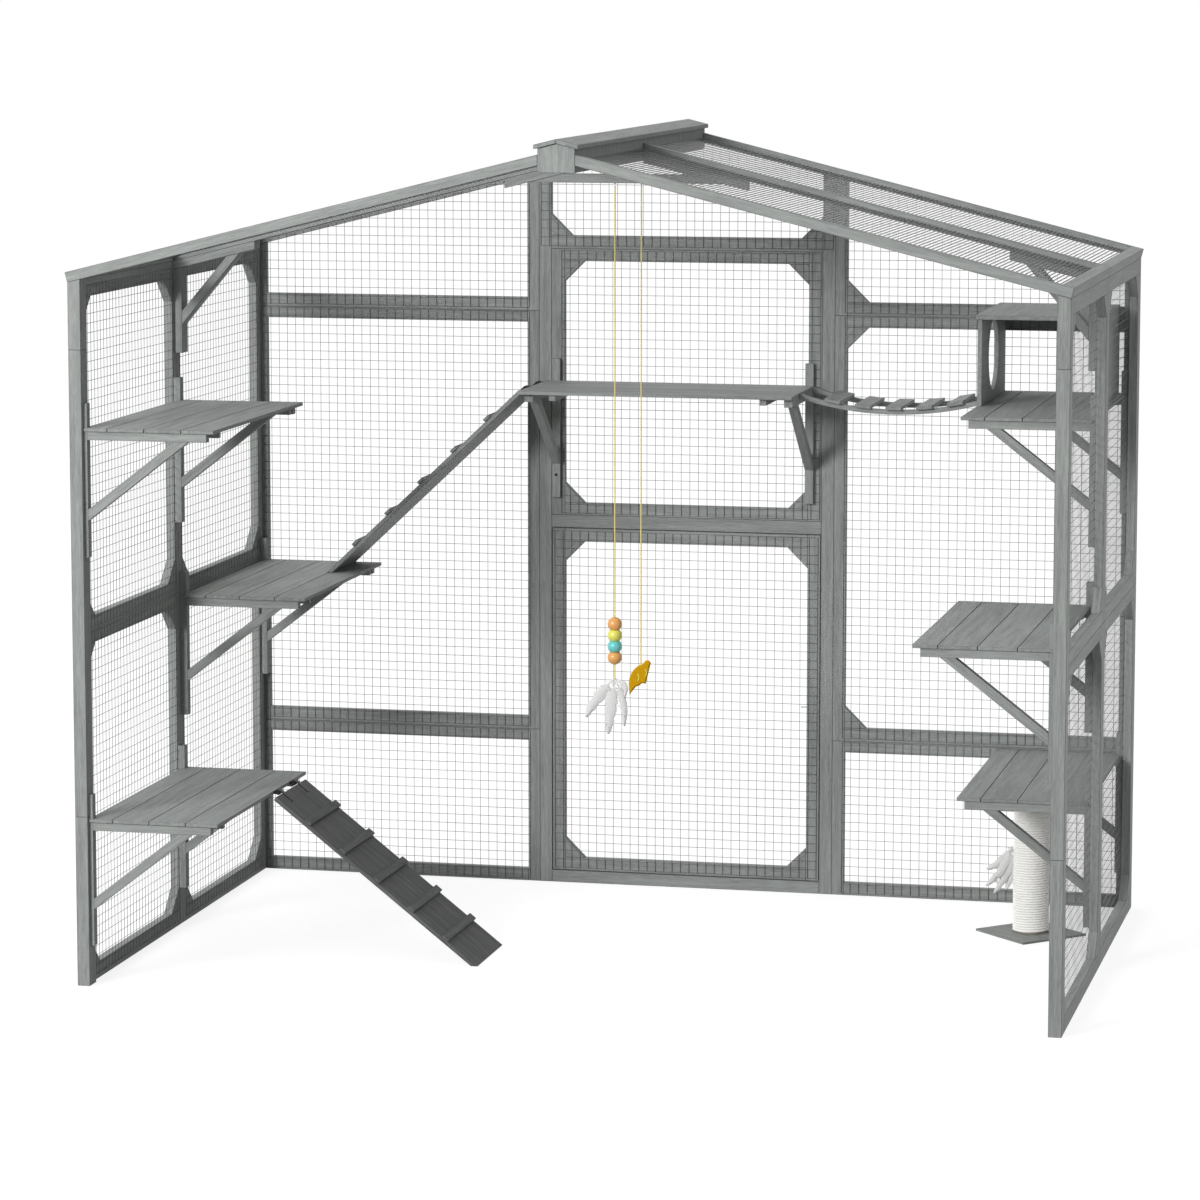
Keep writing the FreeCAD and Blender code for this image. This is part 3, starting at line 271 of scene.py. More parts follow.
class MeshSettings(bpy.types.PropertyGroup):
    """Welded wire mesh."""

    pitch: length_setting("Pitch", "Distance between neighbouring wires", 0.025, 0.01, 0.1)
    wire_radius: length_setting("Wire radius", "Radius of a wire", 0.00066, 0.0003, 0.0007)
    rail_lap: length_setting(
        "Lap on rails", "How far the mesh runs onto the rails", 0.030, 0.0, 0.034
    )
    stile_lap: length_setting(
        "Lap on narrow stiles",
        "How far the mesh runs onto stiles that carry brackets",
        0.006,
        0.0,
        0.006,
    )
    haze: share_setting("Haze", "Share of a wire lost to sight behind the hazy roof sheets", 0.85)
    zinc: colour_setting("Wire colour", "Dark coat of the wires", (0.165, 0.169, 0.168))


class RoofSettings(bpy.types.PropertyGroup):
    """Clear twin-wall roof sheets."""

    rib_pitch: length_setting(
        "Rib pitch", "Distance between the ribs inside a sheet", 0.01147, 0.004, 0.05
    )
    rib_width: length_setting("Rib width", "Thickness of a rib", 0.0013, 0.0003, 0.004)
    flute: length_setting(
        "Flute height", "Height of the ribs between the two skins", 0.0026, 0.001, 0.0046
    )
    skin: length_setting(
        "Skin thickness", "Thickness of each skin of a sheet", 0.0006, 0.0002, 0.002
    )


class PostSettings(bpy.types.PropertyGroup):
    """Rope-wound scratching post."""

    rope_diameter: length_setting(
        "Rope diameter", "Thickness of the sisal rope", 0.007, 0.004, 0.015
    )
    sisal: colour_setting("Sisal colour", "Bleached sisal", (0.97, 0.96, 0.93))


class ToySettings(bpy.types.PropertyGroup):
    """Hanging toys."""

    cord_diameter: length_setting(
        "Cord diameter", "Thickness of the toy cords", 0.0036, 0.001, 0.004
    )
    cord_colour: colour_setting("Cord colour", "Pale yellow twine", (0.84, 0.69, 0.23))
    orange_paint: colour_setting(
        "Orange bead", "Paint of the first and last bead", (0.83, 0.40, 0.11)
    )
    yellow_paint: colour_setting("Yellow bead", "Paint of the second bead", (0.80, 0.77, 0.13))
    teal_paint: colour_setting("Teal bead", "Paint of the third bead", (0.15, 0.62, 0.60))
    felt_gold: colour_setting("Fish felt", "Gold felt of the fish", (0.60, 0.32, 0.004))
    down: colour_setting("Feather colour", "White of the feathers", (0.72, 0.72, 0.715))


class StageSettings(bpy.types.PropertyGroup):
    """Camera, floor and light."""

    camera_place: bpy.props.FloatVectorProperty(
        name="Camera place",
        description="Where the camera stands",
        subtype="TRANSLATION",
        unit="LENGTH",
        default=(2.5751, -11.5123, 2.6115),
    )
    camera_pitch: number_setting(
        "Camera pitch", "How far the camera looks down", math.radians(7.2632), subtype="ANGLE"
    )
    camera_yaw: number_setting(
        "Camera yaw",
        "Turn of the camera about the vertical",
        math.radians(12.9488),
        subtype="ANGLE",
    )
    lens: number_setting(
        "Lens",
        "Focal length in millimetres on a 36 mm sensor",
        132.878,
        subtype="DISTANCE_CAMERA",
    )
    lens_shift: number_setting("Lens shift", "Vertical shift of the frame", -0.05)
    key_power: number_setting(
        "Key light", "Power of the soft light in front", 970.0, unit="POWER", min=0.0
    )
    fill_power: number_setting(
        "Fill light", "Power of the low light beside the right wall", 12.0, unit="POWER", min=0.0
    )
    back_light: number_setting(
        "Back light", "Strength of the level light from behind", 2.4, min=0.0
    )
    sky: number_setting("Sky", "Strength of the light from above", 0.95, min=0.0)


class EnclosureSettings(bpy.types.PropertyGroup):
    """Sizes and colours of the enclosure."""

    timber: bpy.props.PointerProperty(type=TimberSettings, name="Timber")
    mesh: bpy.props.PointerProperty(type=MeshSettings, name="Mesh")
    roof: bpy.props.PointerProperty(type=RoofSettings, name="Roof")
    post: bpy.props.PointerProperty(type=PostSettings, name="Post")
    toys: bpy.props.PointerProperty(type=ToySettings, name="Toys")
    stage: bpy.props.PointerProperty(type=StageSettings, name="Stage")


# Node groups shared by the materials


def new_group(name, inputs):
    """A shader node group for a pattern, or the one already made."""
    if name in bpy.data.node_groups:
        return bpy.data.node_groups[name], None, None
    group = bpy.data.node_groups.new(name, "ShaderNodeTree")
    for label, kind, value in inputs:
        group.interface.new_socket(
            label, in_out="INPUT", socket_type="NodeSocket" + kind
        ).default_value = value
    for label, kind in (("Color", "Color"), ("Roughness", "Float"), ("Height", "Float")):
        group.interface.new_socket(label, in_out="OUTPUT", socket_type="NodeSocket" + kind)
    given, result = group.nodes.new("NodeGroupInput"), group.nodes.new("NodeGroupOutput")
    return group, given.outputs, result.inputs


def calc(tree, operation, first, second):
    """A Math node whose inputs are sockets or plain numbers."""
    node = tree.nodes.new("ShaderNodeMath")
    node.operation = operation
    for socket, value in zip(node.inputs, (first, second)):
        if isinstance(value, (int, float)):
            socket.default_value = value
        else:
            tree.links.new(value, socket)
    return node.outputs["Value"]


def scaled_colour(tree, colour, level):
    """A colour made lighter or darker by a level."""
    node = tree.nodes.new("ShaderNodeVectorMath")
    node.operation = "SCALE"
    tree.links.new(colour, node.inputs[0])
    tree.links.new(level, node.inputs["Scale"])
    return node.outputs["Vector"]


def seen_rays(tree):
    """One for the rays that the eye follows, straight, mirrored or through something clear."""
    rays = tree.nodes.new("ShaderNodeLightPath").outputs
    bent = calc(tree, "MAXIMUM", rays["Is Glossy Ray"], rays["Is Transmission Ray"])
    return calc(tree, "MAXIMUM", rays["Is Camera Ray"], bent)


def noise(tree, vector, stretch, detail, roughness=0.55, distortion=0.0):
    """Noise stretched by different scales along the three directions."""
    mapping = tree.nodes.new("ShaderNodeMapping")
    mapping.inputs["Scale"].default_value = stretch
    tree.links.new(vector, mapping.inputs["Vector"])
    texture = tree.nodes.new("ShaderNodeTexNoise")
    texture.inputs["Scale"].default_value = 1.0
    texture.inputs["Detail"].default_value = detail
    texture.inputs["Roughness"].default_value = roughness
    texture.inputs["Distortion"].default_value = distortion
    tree.links.new(mapping.outputs["Vector"], texture.inputs["Vector"])
    return texture.outputs["Fac"]


def timber_grain_group():
    """Streaks along each board, with a shade of its own for every board; the eased edges are
    darker, part stain and part painted shade of the joints.
    """
    group, given, result = new_group(
        "Timber grain",
        (
            ("Stain", "Color", (0.3, 0.3, 0.3, 1.0)),
            ("Contrast", "Float", 0.5),
            ("Edge stain", "Float", 0.4),
        ),
    )
    if given is None:
        return group
    nodes, links = group.nodes, group.links
    place = nodes.new("ShaderNodeUVMap")
    place.uv_map = "grain"
    shade = nodes.new("ShaderNodeAttribute")
    shade.attribute_name = "shade"
    edge = nodes.new("ShaderNodeAttribute")
    edge.attribute_name = "edge"
    spot = place.outputs["UV"]
    broad = noise(group, spot, (4.0, 70.0, 1.0), detail=3.0, roughness=0.6, distortion=0.5)
    fine = noise(group, spot, (24.0, 330.0, 1.0), detail=4.0, roughness=0.7, distortion=0.2)
    cloud = noise(group, spot, (2.2, 9.0, 1.0), detail=2.0)
    broad = calc(group, "MULTIPLY", broad, BROAD_STREAKS)
    thin = calc(group, "MULTIPLY", fine, FINE_STREAKS)
    streak = calc(group, "SUBTRACT", calc(group, "ADD", broad, thin), 0.5)
    lift = calc(group, "MULTIPLY", streak, given["Contrast"])
    lift = calc(group, "MULTIPLY", lift, STREAK_LIFT)
    patch = calc(group, "SUBTRACT", cloud, 0.5)
    patch = calc(group, "MULTIPLY", patch, PATCH_LIFT)
    board = calc(group, "SUBTRACT", shade.outputs["Fac"], 0.5)
    board = calc(group, "MULTIPLY", board, BOARD_LIFT)
    level = calc(group, "ADD", calc(group, "ADD", lift, patch), board)
    level = calc(group, "ADD", level, 1.0)
    # Darker eased edges: part stain, part painted shade in the joints
    groove_stain_and_shade = calc(group, "MULTIPLY", edge.outputs["Fac"], given["Edge stain"])
    groove_stain_and_shade = calc(group, "SUBTRACT", 1.0, groove_stain_and_shade)
    level = calc(group, "MULTIPLY", level, groove_stain_and_shade)
    colour = scaled_colour(group, given["Stain"], level)
    links.new(colour, result["Color"])
    dull = calc(group, "MULTIPLY", fine, 0.25)
    dull = calc(group, "ADD", dull, 0.5)
    links.new(dull, result["Roughness"])
    links.new(fine, result["Height"])
    return group


def speckle_group():
    """Small even unevenness of metal, plastic, paint, felt and fibre."""
    group, given, result = new_group(
        "Speckle",
        (
            ("Colour", "Color", (0.5, 0.5, 0.5, 1.0)),
            ("Scale", "Vector", (300.0, 300.0, 300.0)),
            ("Depth", "Float", 0.2),
            ("Dullness", "Float", 0.5),
        ),
    )
    if given is None:
        return group
    nodes, links = group.nodes, group.links
    place = nodes.new("ShaderNodeTexCoord")
    spread = nodes.new("ShaderNodeVectorMath")
    spread.operation = "MULTIPLY"
    links.new(place.outputs["Object"], spread.inputs[0])
    links.new(given["Scale"], spread.inputs[1])
    height = noise(group, spread.outputs["Vector"], (1.0, 1.0, 1.0), detail=3.0, roughness=0.6)
    middle = calc(group, "SUBTRACT", height, 0.5)
    swing = calc(group, "MULTIPLY", middle, given["Depth"])
    level = calc(group, "ADD", calc(group, "MULTIPLY", swing, 2.0), 1.0)
    colour = scaled_colour(group, given["Colour"], level)
    links.new(colour, result["Color"])
    dull = calc(group, "ADD", given["Dullness"], swing)
    links.new(dull, result["Roughness"])
    links.new(height, result["Height"])
    return group


def new_material(name, group, values, bump, bump_depth, **sockets):
    """A Principled material fed by a node group; other sockets get plain values."""
    material = bpy.data.materials.new(name)
    material.use_nodes = True
    nodes, links = material.node_tree.nodes, material.node_tree.links
    surface = nodes["Principled BSDF"]
    pattern = nodes.new("ShaderNodeGroup")
    pattern.node_tree = group
    for label, value in values.items():
        pattern.inputs[label].default_value = value
    links.new(pattern.outputs["Color"], surface.inputs["Base Color"])
    links.new(pattern.outputs["Roughness"], surface.inputs["Roughness"])
    relief = nodes.new("ShaderNodeBump")
    relief.inputs["Strength"].default_value = bump
    relief.inputs["Distance"].default_value = bump_depth
    links.new(pattern.outputs["Height"], relief.inputs["Height"])
    links.new(relief.outputs["Normal"], surface.inputs["Normal"])
    for label, value in sockets.items():
        surface.inputs[label.replace("_", " ")].default_value = value
    return material


def timber_material(name, stain, streaks=1.0):
    """Stained softwood with streaks along the grain."""
    settings = bpy.context.scene.enclosure.timber
    values = {
        "Stain": (*stain, 1.0),
        "Contrast": settings.grain_contrast * streaks,
        "Edge stain": settings.edge_stain_and_shade,
    }
    return new_material(
        name, timber_grain_group(), values, bump=0.25, bump_depth=0.0006, Specular_IOR_Level=0.3
    )


def speckled(name, colour, scale, depth, dullness, bump=0.1, bump_depth=0.0004, **sockets):
    """A material of one colour with fine unevenness."""
    spread = scale if isinstance(scale, tuple) else (scale, scale, scale)
    values = {"Colour": (*colour, 1.0), "Scale": spread, "Depth": depth, "Dullness": dullness}
    return new_material(name, speckle_group(), values, bump, bump_depth, **sockets)


# Building of pieces


def add_object(name, data):
    """An object in the scene."""
    added = bpy.data.objects.new(name, data)
    bpy.context.scene.collection.objects.link(added)
    return added


def add_mesh(name, bm, materials):
    """An object with a finished mesh and its materials."""
    mesh = bpy.data.meshes.new(name)
    bm.to_mesh(mesh)
    bm.free()
    for material in materials:
        mesh.materials.append(material)
    return add_object(name, mesh)


def add_piece(name, bm, body, materials, nodes=()):
    """Makes the mesh a piece of the enclosure, in place of the solids it dresses."""
    piece = add_mesh(name, bm, materials)
    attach(piece, body)
    if nodes:
        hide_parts(*nodes)
    return piece


def boards_of(node):
    """A copy of a node's mesh, each board merged by itself so that touching boards stay apart."""
    bm = bmesh.new()
    bm.from_mesh(frame["nodes"][node].data)
    boards, corners, open_edges = [], {}, set()
    for face in bm.faces:
        points = [tuple(round(c, 5) for c in vert.co) for vert in face.verts]
        corners.update(dict.fromkeys(face.verts))
        for start, end in zip(points, points[1:] + points[:1]):
            if (end, start) in open_edges:
                open_edges.remove((end, start))
            elif start != end:
                open_edges.add((start, end))
        if not open_edges:
            boards.append(list(corners))
            corners = {}
    if corners:
        raise RuntimeError(f"{node} doesn't part into closed boards")
    for verts in boards:
        bmesh.ops.remove_doubles(bm, verts=verts, dist=1e-5)
    flat = math.radians(0.5)
    bmesh.ops.dissolve_limit(bm, angle_limit=flat, verts=bm.verts[:], edges=bm.edges[:])
    return bm


def ease_edges(bm, radius, sharp=math.radians(25)):
    """Rounds the sharp edges of the boards, and marks the rounded faces for their darker stain and
    painted joint shade.
    """
    edge_shade_mark = bm.faces.layers.float.new("edge")
    edges = [e for e in bm.edges if e.is_manifold and e.calc_face_angle() > sharp]
    made = bmesh.ops.bevel(bm, geom=edges, offset=radius, offset_type="OFFSET", affect="EDGES",
                           segments=2, profile=0.5, material=-1, clamp_overlap=True)
    for face in made["faces"]:
        face[edge_shade_mark] = 1.0


def lay_grain(bm, seed, upright):
    """Gives each board its grain direction, its place in the timber and its shade."""
    grain = bm.loops.layers.uv.new("grain")
    shade = bm.faces.layers.float.new("shade")
    pick = random.Random(seed)
    bm.normal_update()
    bm.faces.index_update()
    seen = set()
    for first in bm.faces:
        if first.index in seen:
            continue
        board, waiting = [], [first]
        seen.add(first.index)
        while waiting:
            face = waiting.pop()
            board.append(face)
            for edge in face.edges:
                for other in edge.link_faces:
                    if other.index not in seen:
                        seen.add(other.index)
                        waiting.append(other)
        along = Vector((0, 0, 1))
        if not upright:
            edges = (edge for face in board for edge in face.edges)
            near, far = max(edges, key=lambda e: round(e.calc_length(), 5)).verts
            along = (far.co - near.co).normalized()
        start = Vector((pick.uniform(0, GRAIN_SPREAD), pick.uniform(0, GRAIN_SPREAD)))
        tone = pick.random()
        for face in board:
            across = face.normal.cross(along)
            end_grain = across.length < 0.5
            if end_grain:
                across = along.orthogonal()
                lengthwise = along.cross(across) * END_STRETCH
            else:
                lengthwise = along
            across.normalize()
            face[shade] = tone - (END_SHADE if end_grain else 0.0)
            for loop in face.loops:
                point = loop.vert.co
                loop[grain].uv = start + Vector((point.dot(lengthwise), point.dot(across)))


def body_name(node):
    """The body that a node rides on."""
    return body_of(frame["nodes"][node])[0]


def dress_timber(nodes, material):
    """Eased, grained boards in place of the plain solids."""
    settings = bpy.context.scene.enclosure.timber
    for node in nodes:
        bm = boards_of(node)
        ease_edges(bm, settings.shelf_edge if node in SHELF_TIMBER else settings.edge_round)
        seed = sum(ord(letter) * (spot + 1) for spot, letter in enumerate(node))
        lay_grain(bm, seed, node in UPRIGHT_GRAIN)
        add_piece(node + "_timber", bm, body_name(node), [material], [node])


def face_outward(bm):
    """Turns the faces of closed forms outward."""
    bmesh.ops.recalc_face_normals(bm, faces=bm.faces[:])


def add_rod(bm, start, end, radius, tip_radius=None, segments=6):
    """A straight round rod between two points."""
    line = end - start
    turn = line.to_track_quat("Z", "Y").to_matrix().to_4x4()
    lay = Matrix.Translation((start + end) / 2) @ turn
    tip = radius if tip_radius is None else tip_radius
    made = bmesh.ops.create_cone(bm, cap_ends=True, segments=segments, radius1=radius,
                                 radius2=tip, depth=line.length, matrix=lay)
    return made["verts"]


def add_box(bm, matrix, size, material=0):
    """A box of a given size about the middle of a matrix."""
    made = bmesh.ops.create_cube(bm, size=1.0, matrix=matrix @ Matrix.Diagonal((*size, 1.0)))
    for face in {f for vert in made["verts"] for f in vert.link_faces}:
        face.material_index = material
    return made["verts"]


def evenly(low, high, pitch):
    """Places a pitch apart, as nearly as the span allows."""
    count = max(1, round((high - low) / pitch))
    return [low + (high - low) * spot / count for spot in range(count + 1)]


class MeshPanel:
    """Wires of one node's mesh: level wires on the frame and uprights welded over them."""

    def __init__(self, place):
        settings = bpy.context.scene.enclosure.mesh
        self.bm = bmesh.new()
        self.place = place
        self.radius = settings.wire_radius
        self.pitch = settings.pitch

    def level(self, start, end, height):
        """A wire against the frame."""
        ends = [self.place(across, height, self.radius) for across in (start, end)]
        return add_rod(self.bm, *ends, self.radius)

    def upright(self, across, low, high):
        """A wire welded over the level ones."""
        depth = WELD_DEPTH * self.radius
        ends = [self.place(across, height, depth) for height in (low, high)]
        return add_rod(self.bm, *ends, self.radius)

    def repeat(self, verts, step, count):
        """Copies a wire at even steps."""
        faces = dict.fromkeys(f for vert in verts for f in vert.link_faces)
        edges = dict.fromkeys(e for vert in verts for e in vert.link_edges)
        wire = [*verts, *edges, *faces]
        bmesh.ops.spin(self.bm, geom=wire, dvec=step, axis=(0, 0, 1), angle=0.0, steps=count,
                       use_duplicate=True)

    def window(self, left, right, low, high):
        """A rectangle of mesh."""
        rows = max(1, round((high - low) / self.pitch))
        rise = self.place(left, low + (high - low) / rows, 0) - self.place(left, low, 0)
        self.repeat(self.level(left, right, low), rise, rows)
        columns = max(1, round((right - left) / self.pitch))
        along = self.place(left + (right - left) / columns, low, 0) - self.place(left, low, 0)
        self.repeat(self.upright(left, low, high), along, columns)

    def gable(self, left, right, low, crest, reach, top):
        """Mesh under a slope: crest gives its height at a place, reach its width at a height."""
        for across in evenly(left, right, self.pitch):
            self.upright(across, low, min(crest(across), top))
        height = low
        while height < top - 0.004:
            out = reach(height)
            start, end = max(left, -out), min(right, out)
            if end - start > SHORTEST_WIRE:
                self.level(start, end, height)
            height += self.pitch

    def finish(self, node, material):
        """Puts the wires in place of the node's plain mesh."""
        for face in self.bm.faces:
            face.smooth = len(face.verts) == 4
        add_piece(node + "_wires", self.bm, body_name(node), [material], [node])


class ENCLOSURE_OT_timber(bpy.types.Operator):
    """Frames, roof timber, shelves and ramps of grey stained boards"""

    bl_idname = "enclosure.timber"
    bl_label = "Timber"

    def execute(self, context):
        settings = context.scene.enclosure.timber
        grey = timber_material("grey_stained_timber", settings.stain)
        # The lower ramp's darker stain also paints the shade on its slope
        ramp = timber_material("ramp_stained_and_shaded_timber", settings.ramp_stain_and_shade, RAMP_STREAKS)
        dress_timber(FRAME_TIMBER + ROOF_TIMBER + SHELF_TIMBER + ("upper_ramp",), grey)
        dress_timber(("lower_ramp",), ramp)
        return {"FINISHED"}


class ENCLOSURE_OT_wire_mesh(bpy.types.Operator):
    """Welded mesh on the inner faces of the walls and the door"""

    bl_idname = "enclosure.wire_mesh"
    bl_label = "Wire mesh"

    def execute(self, context):
        settings = context.scene.enclosure.mesh
        zinc = speckled("dark_coated_wire", settings.zinc, scale=900.0, depth=0.2, dullness=0.42,
                        Specular_IOR_Level=0.3)
        # A wire seen through a roof sheet is all but lost in the haze of the plastic
        tree = zinc.node_tree
        rays = tree.nodes.new("ShaderNodeLightPath").outputs
        behind = calc(tree, "GREATER_THAN", rays["Transparent Depth"], 0.5)
        looked = calc(tree, "MULTIPLY", behind, rays["Is Camera Ray"])
        hidden = calc(tree, "MULTIPLY", looked, settings.haze)
        shown = calc(tree, "SUBTRACT", 1.0, hidden)
        tree.links.new(shown, tree.nodes["Principled BSDF"].inputs["Alpha"])
        lap, narrow = settings.rail_lap, settings.stile_lap

        def back(x, z, depth):
            return Vector((x, BACK_FACE - depth, z))

        def crest(x):
            return roof_under(x) + GABLE_LAP

        def reach(z):
            return HALF_WIDTH - (z - GABLE_LAP - EAVE_HEIGHT) / math.tan(ROOF_ANGLE)

        for word, side in (("left", -1), ("right", 1)):

            def inside(y, z, depth, side=side):
                return Vector((side * (WALL_FACE - depth), y, z))

            wall = MeshPanel(inside)
            for low, high in WALL_BANDS:
                front, rear = WALL_FRONT_BAY
                wall.window(front, rear + narrow, low - lap, high + lap)
                front, rear = WALL_REAR_BAY
                wall.window(front - narrow, rear + narrow, low - lap, high + lap)
            wall.finish(word + "_wall_mesh", zinc)
        for word, side in (("left", -1), ("right", 1)):
            column = MeshPanel(lambda x, z, depth, side=side: back(side * x, z, depth))
            left, right = COLUMN_SIDES[0] - narrow, COLUMN_SIDES[1]
            for low, high in COLUMN_BANDS:
                column.window(left, right, low - lap, high + lap)
            column.gable(left, right, COLUMN_GABLE_LOW - lap, crest, reach, crest(left))
            column.finish(f"back_{word}_mesh", zinc)
        centre = MeshPanel(back)
        centre.window(*INFILL_SIDES, INFILL_BAND[0] - lap, INFILL_BAND[1] + lap)
        left, right = GABLE_SIDES
        centre.gable(left - lap, right + lap, GABLE_LOW - lap, crest, reach, GABLE_TOP)
        centre.finish("back_centre_mesh", zinc)
        door = MeshPanel(back)
        left, right = DOOR_SIDES
        door.window(left - lap, right + lap, DOOR_BAND[0] - lap, DOOR_BAND[1] + lap)
        door.finish("door_mesh", zinc)
        return {"FINISHED"}


class ENCLOSURE_OT_roof_sheets(bpy.types.Operator):
    """Clear twin-wall sheets with ribs along the roof"""

    bl_idname = "enclosure.roof_sheets"
    bl_label = "Roof sheets"

    def execute(self, context):
        settings = context.scene.enclosure.roof
        skin = speckled("clear_roof_skin", CLEAR_SKIN, scale=40.0, depth=0.06, dullness=0.18,
                        bump=0.03, Alpha=0.03, IOR=1.5)
        # The clear ribs are coloured dark grey, painted shade for the darkness refraction gives
        # them
        rib = speckled("roof_rib_painted_shade", RIB_PAINTED_SHADE, scale=60.0, depth=0.2, dullness=0.35, bump=0.03)
        # The plastic lets most of the light through to the shelves
        for material, held in ((skin, 0.02), (rib, 0.7)):
            tree = material.node_tree
            alpha = tree.nodes["Principled BSDF"].inputs["Alpha"]
            rays = tree.nodes.new("ShaderNodeLightPath").outputs
            passed = calc(tree, "MULTIPLY", rays["Is Shadow Ray"], held)
            tree.links.new(calc(tree, "SUBTRACT", alpha.default_value, passed), alpha)
        width = (WALL_FACE - RIDGE_FACE) / math.cos(ROOF_ANGLE)
        middle = (RIDGE_FACE + WALL_FACE) / 2
        height = roof_under(middle) + SHEET_SEAT
        rise = settings.flute + settings.skin
        last_rib = width / 2 - 0.001
        bm = bmesh.new()
        for side in (-1, 1):
            for front, back in ((-BACK_FACE, -MIDDLE_RAFTER), (MIDDLE_RAFTER, BACK_FACE)):
                depth = back - front
                lay = Matrix.Translation((side * middle, (front + back) / 2, height))
                lay = lay @ Matrix.Rotation(side * ROOF_ANGLE, 4, "Y")
                for lift in (0.0, rise):
                    raised = lay @ Matrix.Translation((0, 0, lift))
                    add_box(bm, raised, (width, depth, settings.skin))
                for spot in evenly(-last_rib, last_rib, settings.rib_pitch):
                    raised = lay @ Matrix.Translation((spot, 0, rise / 2))
                    add_box(bm, raised, (settings.rib_width, depth, settings.flute), 1)
        add_piece("roof_sheets_glazing", bm, "enclosure", [skin, rib],
                  ["roof_sheets"])
        return {"FINISHED"}


class ENCLOSURE_OT_fittings(bpy.types.Operator):
    """Zinc-plated hinges, bolt and eyes, and the blackened ramp hooks"""

    bl_idname = "enclosure.fittings"
    bl_label = "Fittings"

    def execute(self, context):
        steel = speckled("zinc_plated_steel", PLATED_STEEL, scale=420.0, depth=0.25, dullness=0.34,
                         bump=0.12, bump_depth=0.0002, Metallic=0.9)
        dark = speckled("blackened_steel", BLACK_STEEL, scale=500.0, depth=0.3, dullness=0.4,
                        Metallic=0.8)
        for material, fittings in ((steel, STEEL_FITTINGS), (dark, BLACK_FITTINGS)):
            for node in fittings:
                slots = frame["nodes"][node].data.materials
                slots.clear()
                slots.append(material)
        bm = bmesh.new()
        face = CLEAT_SCREW - Vector((0, SCREW_RISE, 0))
        add_rod(bm, CLEAT_SCREW, face, SCREW_RADIUS, segments=20)
        ease_edges(bm, 0.0004)
        for turn in (0, math.pi / 2):
            lay = Matrix.Translation(face) @ Matrix.Rotation(turn, 4, "Y")
            add_box(bm, lay, (0.0045, 0.0004, 0.0009))
        add_piece("cleat_screw", bm, "enclosure", [dark])
        return {"FINISHED"}


def down_material(name):
    """White feathers."""
    colour = bpy.context.scene.enclosure.toys.down
    return speckled(name, colour, scale=(500.0, 500.0, 220.0), depth=0.12, dullness=0.75,
                    Sheen_Weight=0.3)


def add_feather(bm, root, tip, half_width, bend, pick):
    """A curved quill with a thin ragged vane that faces the front, and down at its root."""
    line = tip - root
    facing = Vector((0, -1, 0))
    side = line.cross(facing).normalized()

    def spot(share):
        return root + line * share + side * (bend * 4 * share * (1 - share))

    vane = bmesh.ops.create_grid(bm, x_segments=6, y_segments=18, size=0.5)["verts"]
    ragged = {}
    for vert in sorted(vane, key=lambda v: (v.co.y, v.co.x)):
        across, share = vert.co.x * 2, vert.co.y + 0.5
        width = half_width * max(0.03, math.sin(math.pi * share ** 0.6)) ** 0.6
        if abs(across) > 0.9:
            width *= pick.choice(RAGGED_WIDTHS)
        swept = min(1.0, VANE_START + VANE_REACH * share + VANE_SWEEP * abs(across))
        cup = facing * VANE_CUP * (1 - across * across)
        ragged[vert] = spot(swept) + side * across * width + cup
    for vert, place in ragged.items():
        vert.co = place
    faces = list(dict.fromkeys(f for vert in vane for f in vert.link_faces))
    bmesh.ops.solidify(bm, geom=faces, thickness=VANE_THICKNESS)
    quill = [spot(part / QUILL_PARTS) - facing * 0.001 for part in range(QUILL_PARTS + 1)]
    for start, end in zip(quill, quill[1:]):
        add_rod(bm, start, end, QUILL_RADIUS)
    for _ in range(DOWN_STRANDS):
        start = spot(pick.uniform(0.02, 0.22))
        hand = pick.choice((-1, 1))
        lean = line.normalized() * pick.uniform(0.2, 1.0) + side * hand
        lean += facing * pick.uniform(-0.8, 0.8)
        end = start + lean.normalized() * half_width * pick.uniform(0.6, 1.1)
        add_rod(bm, start, end, STRAND_ROOT, STRAND_TIP, 3)


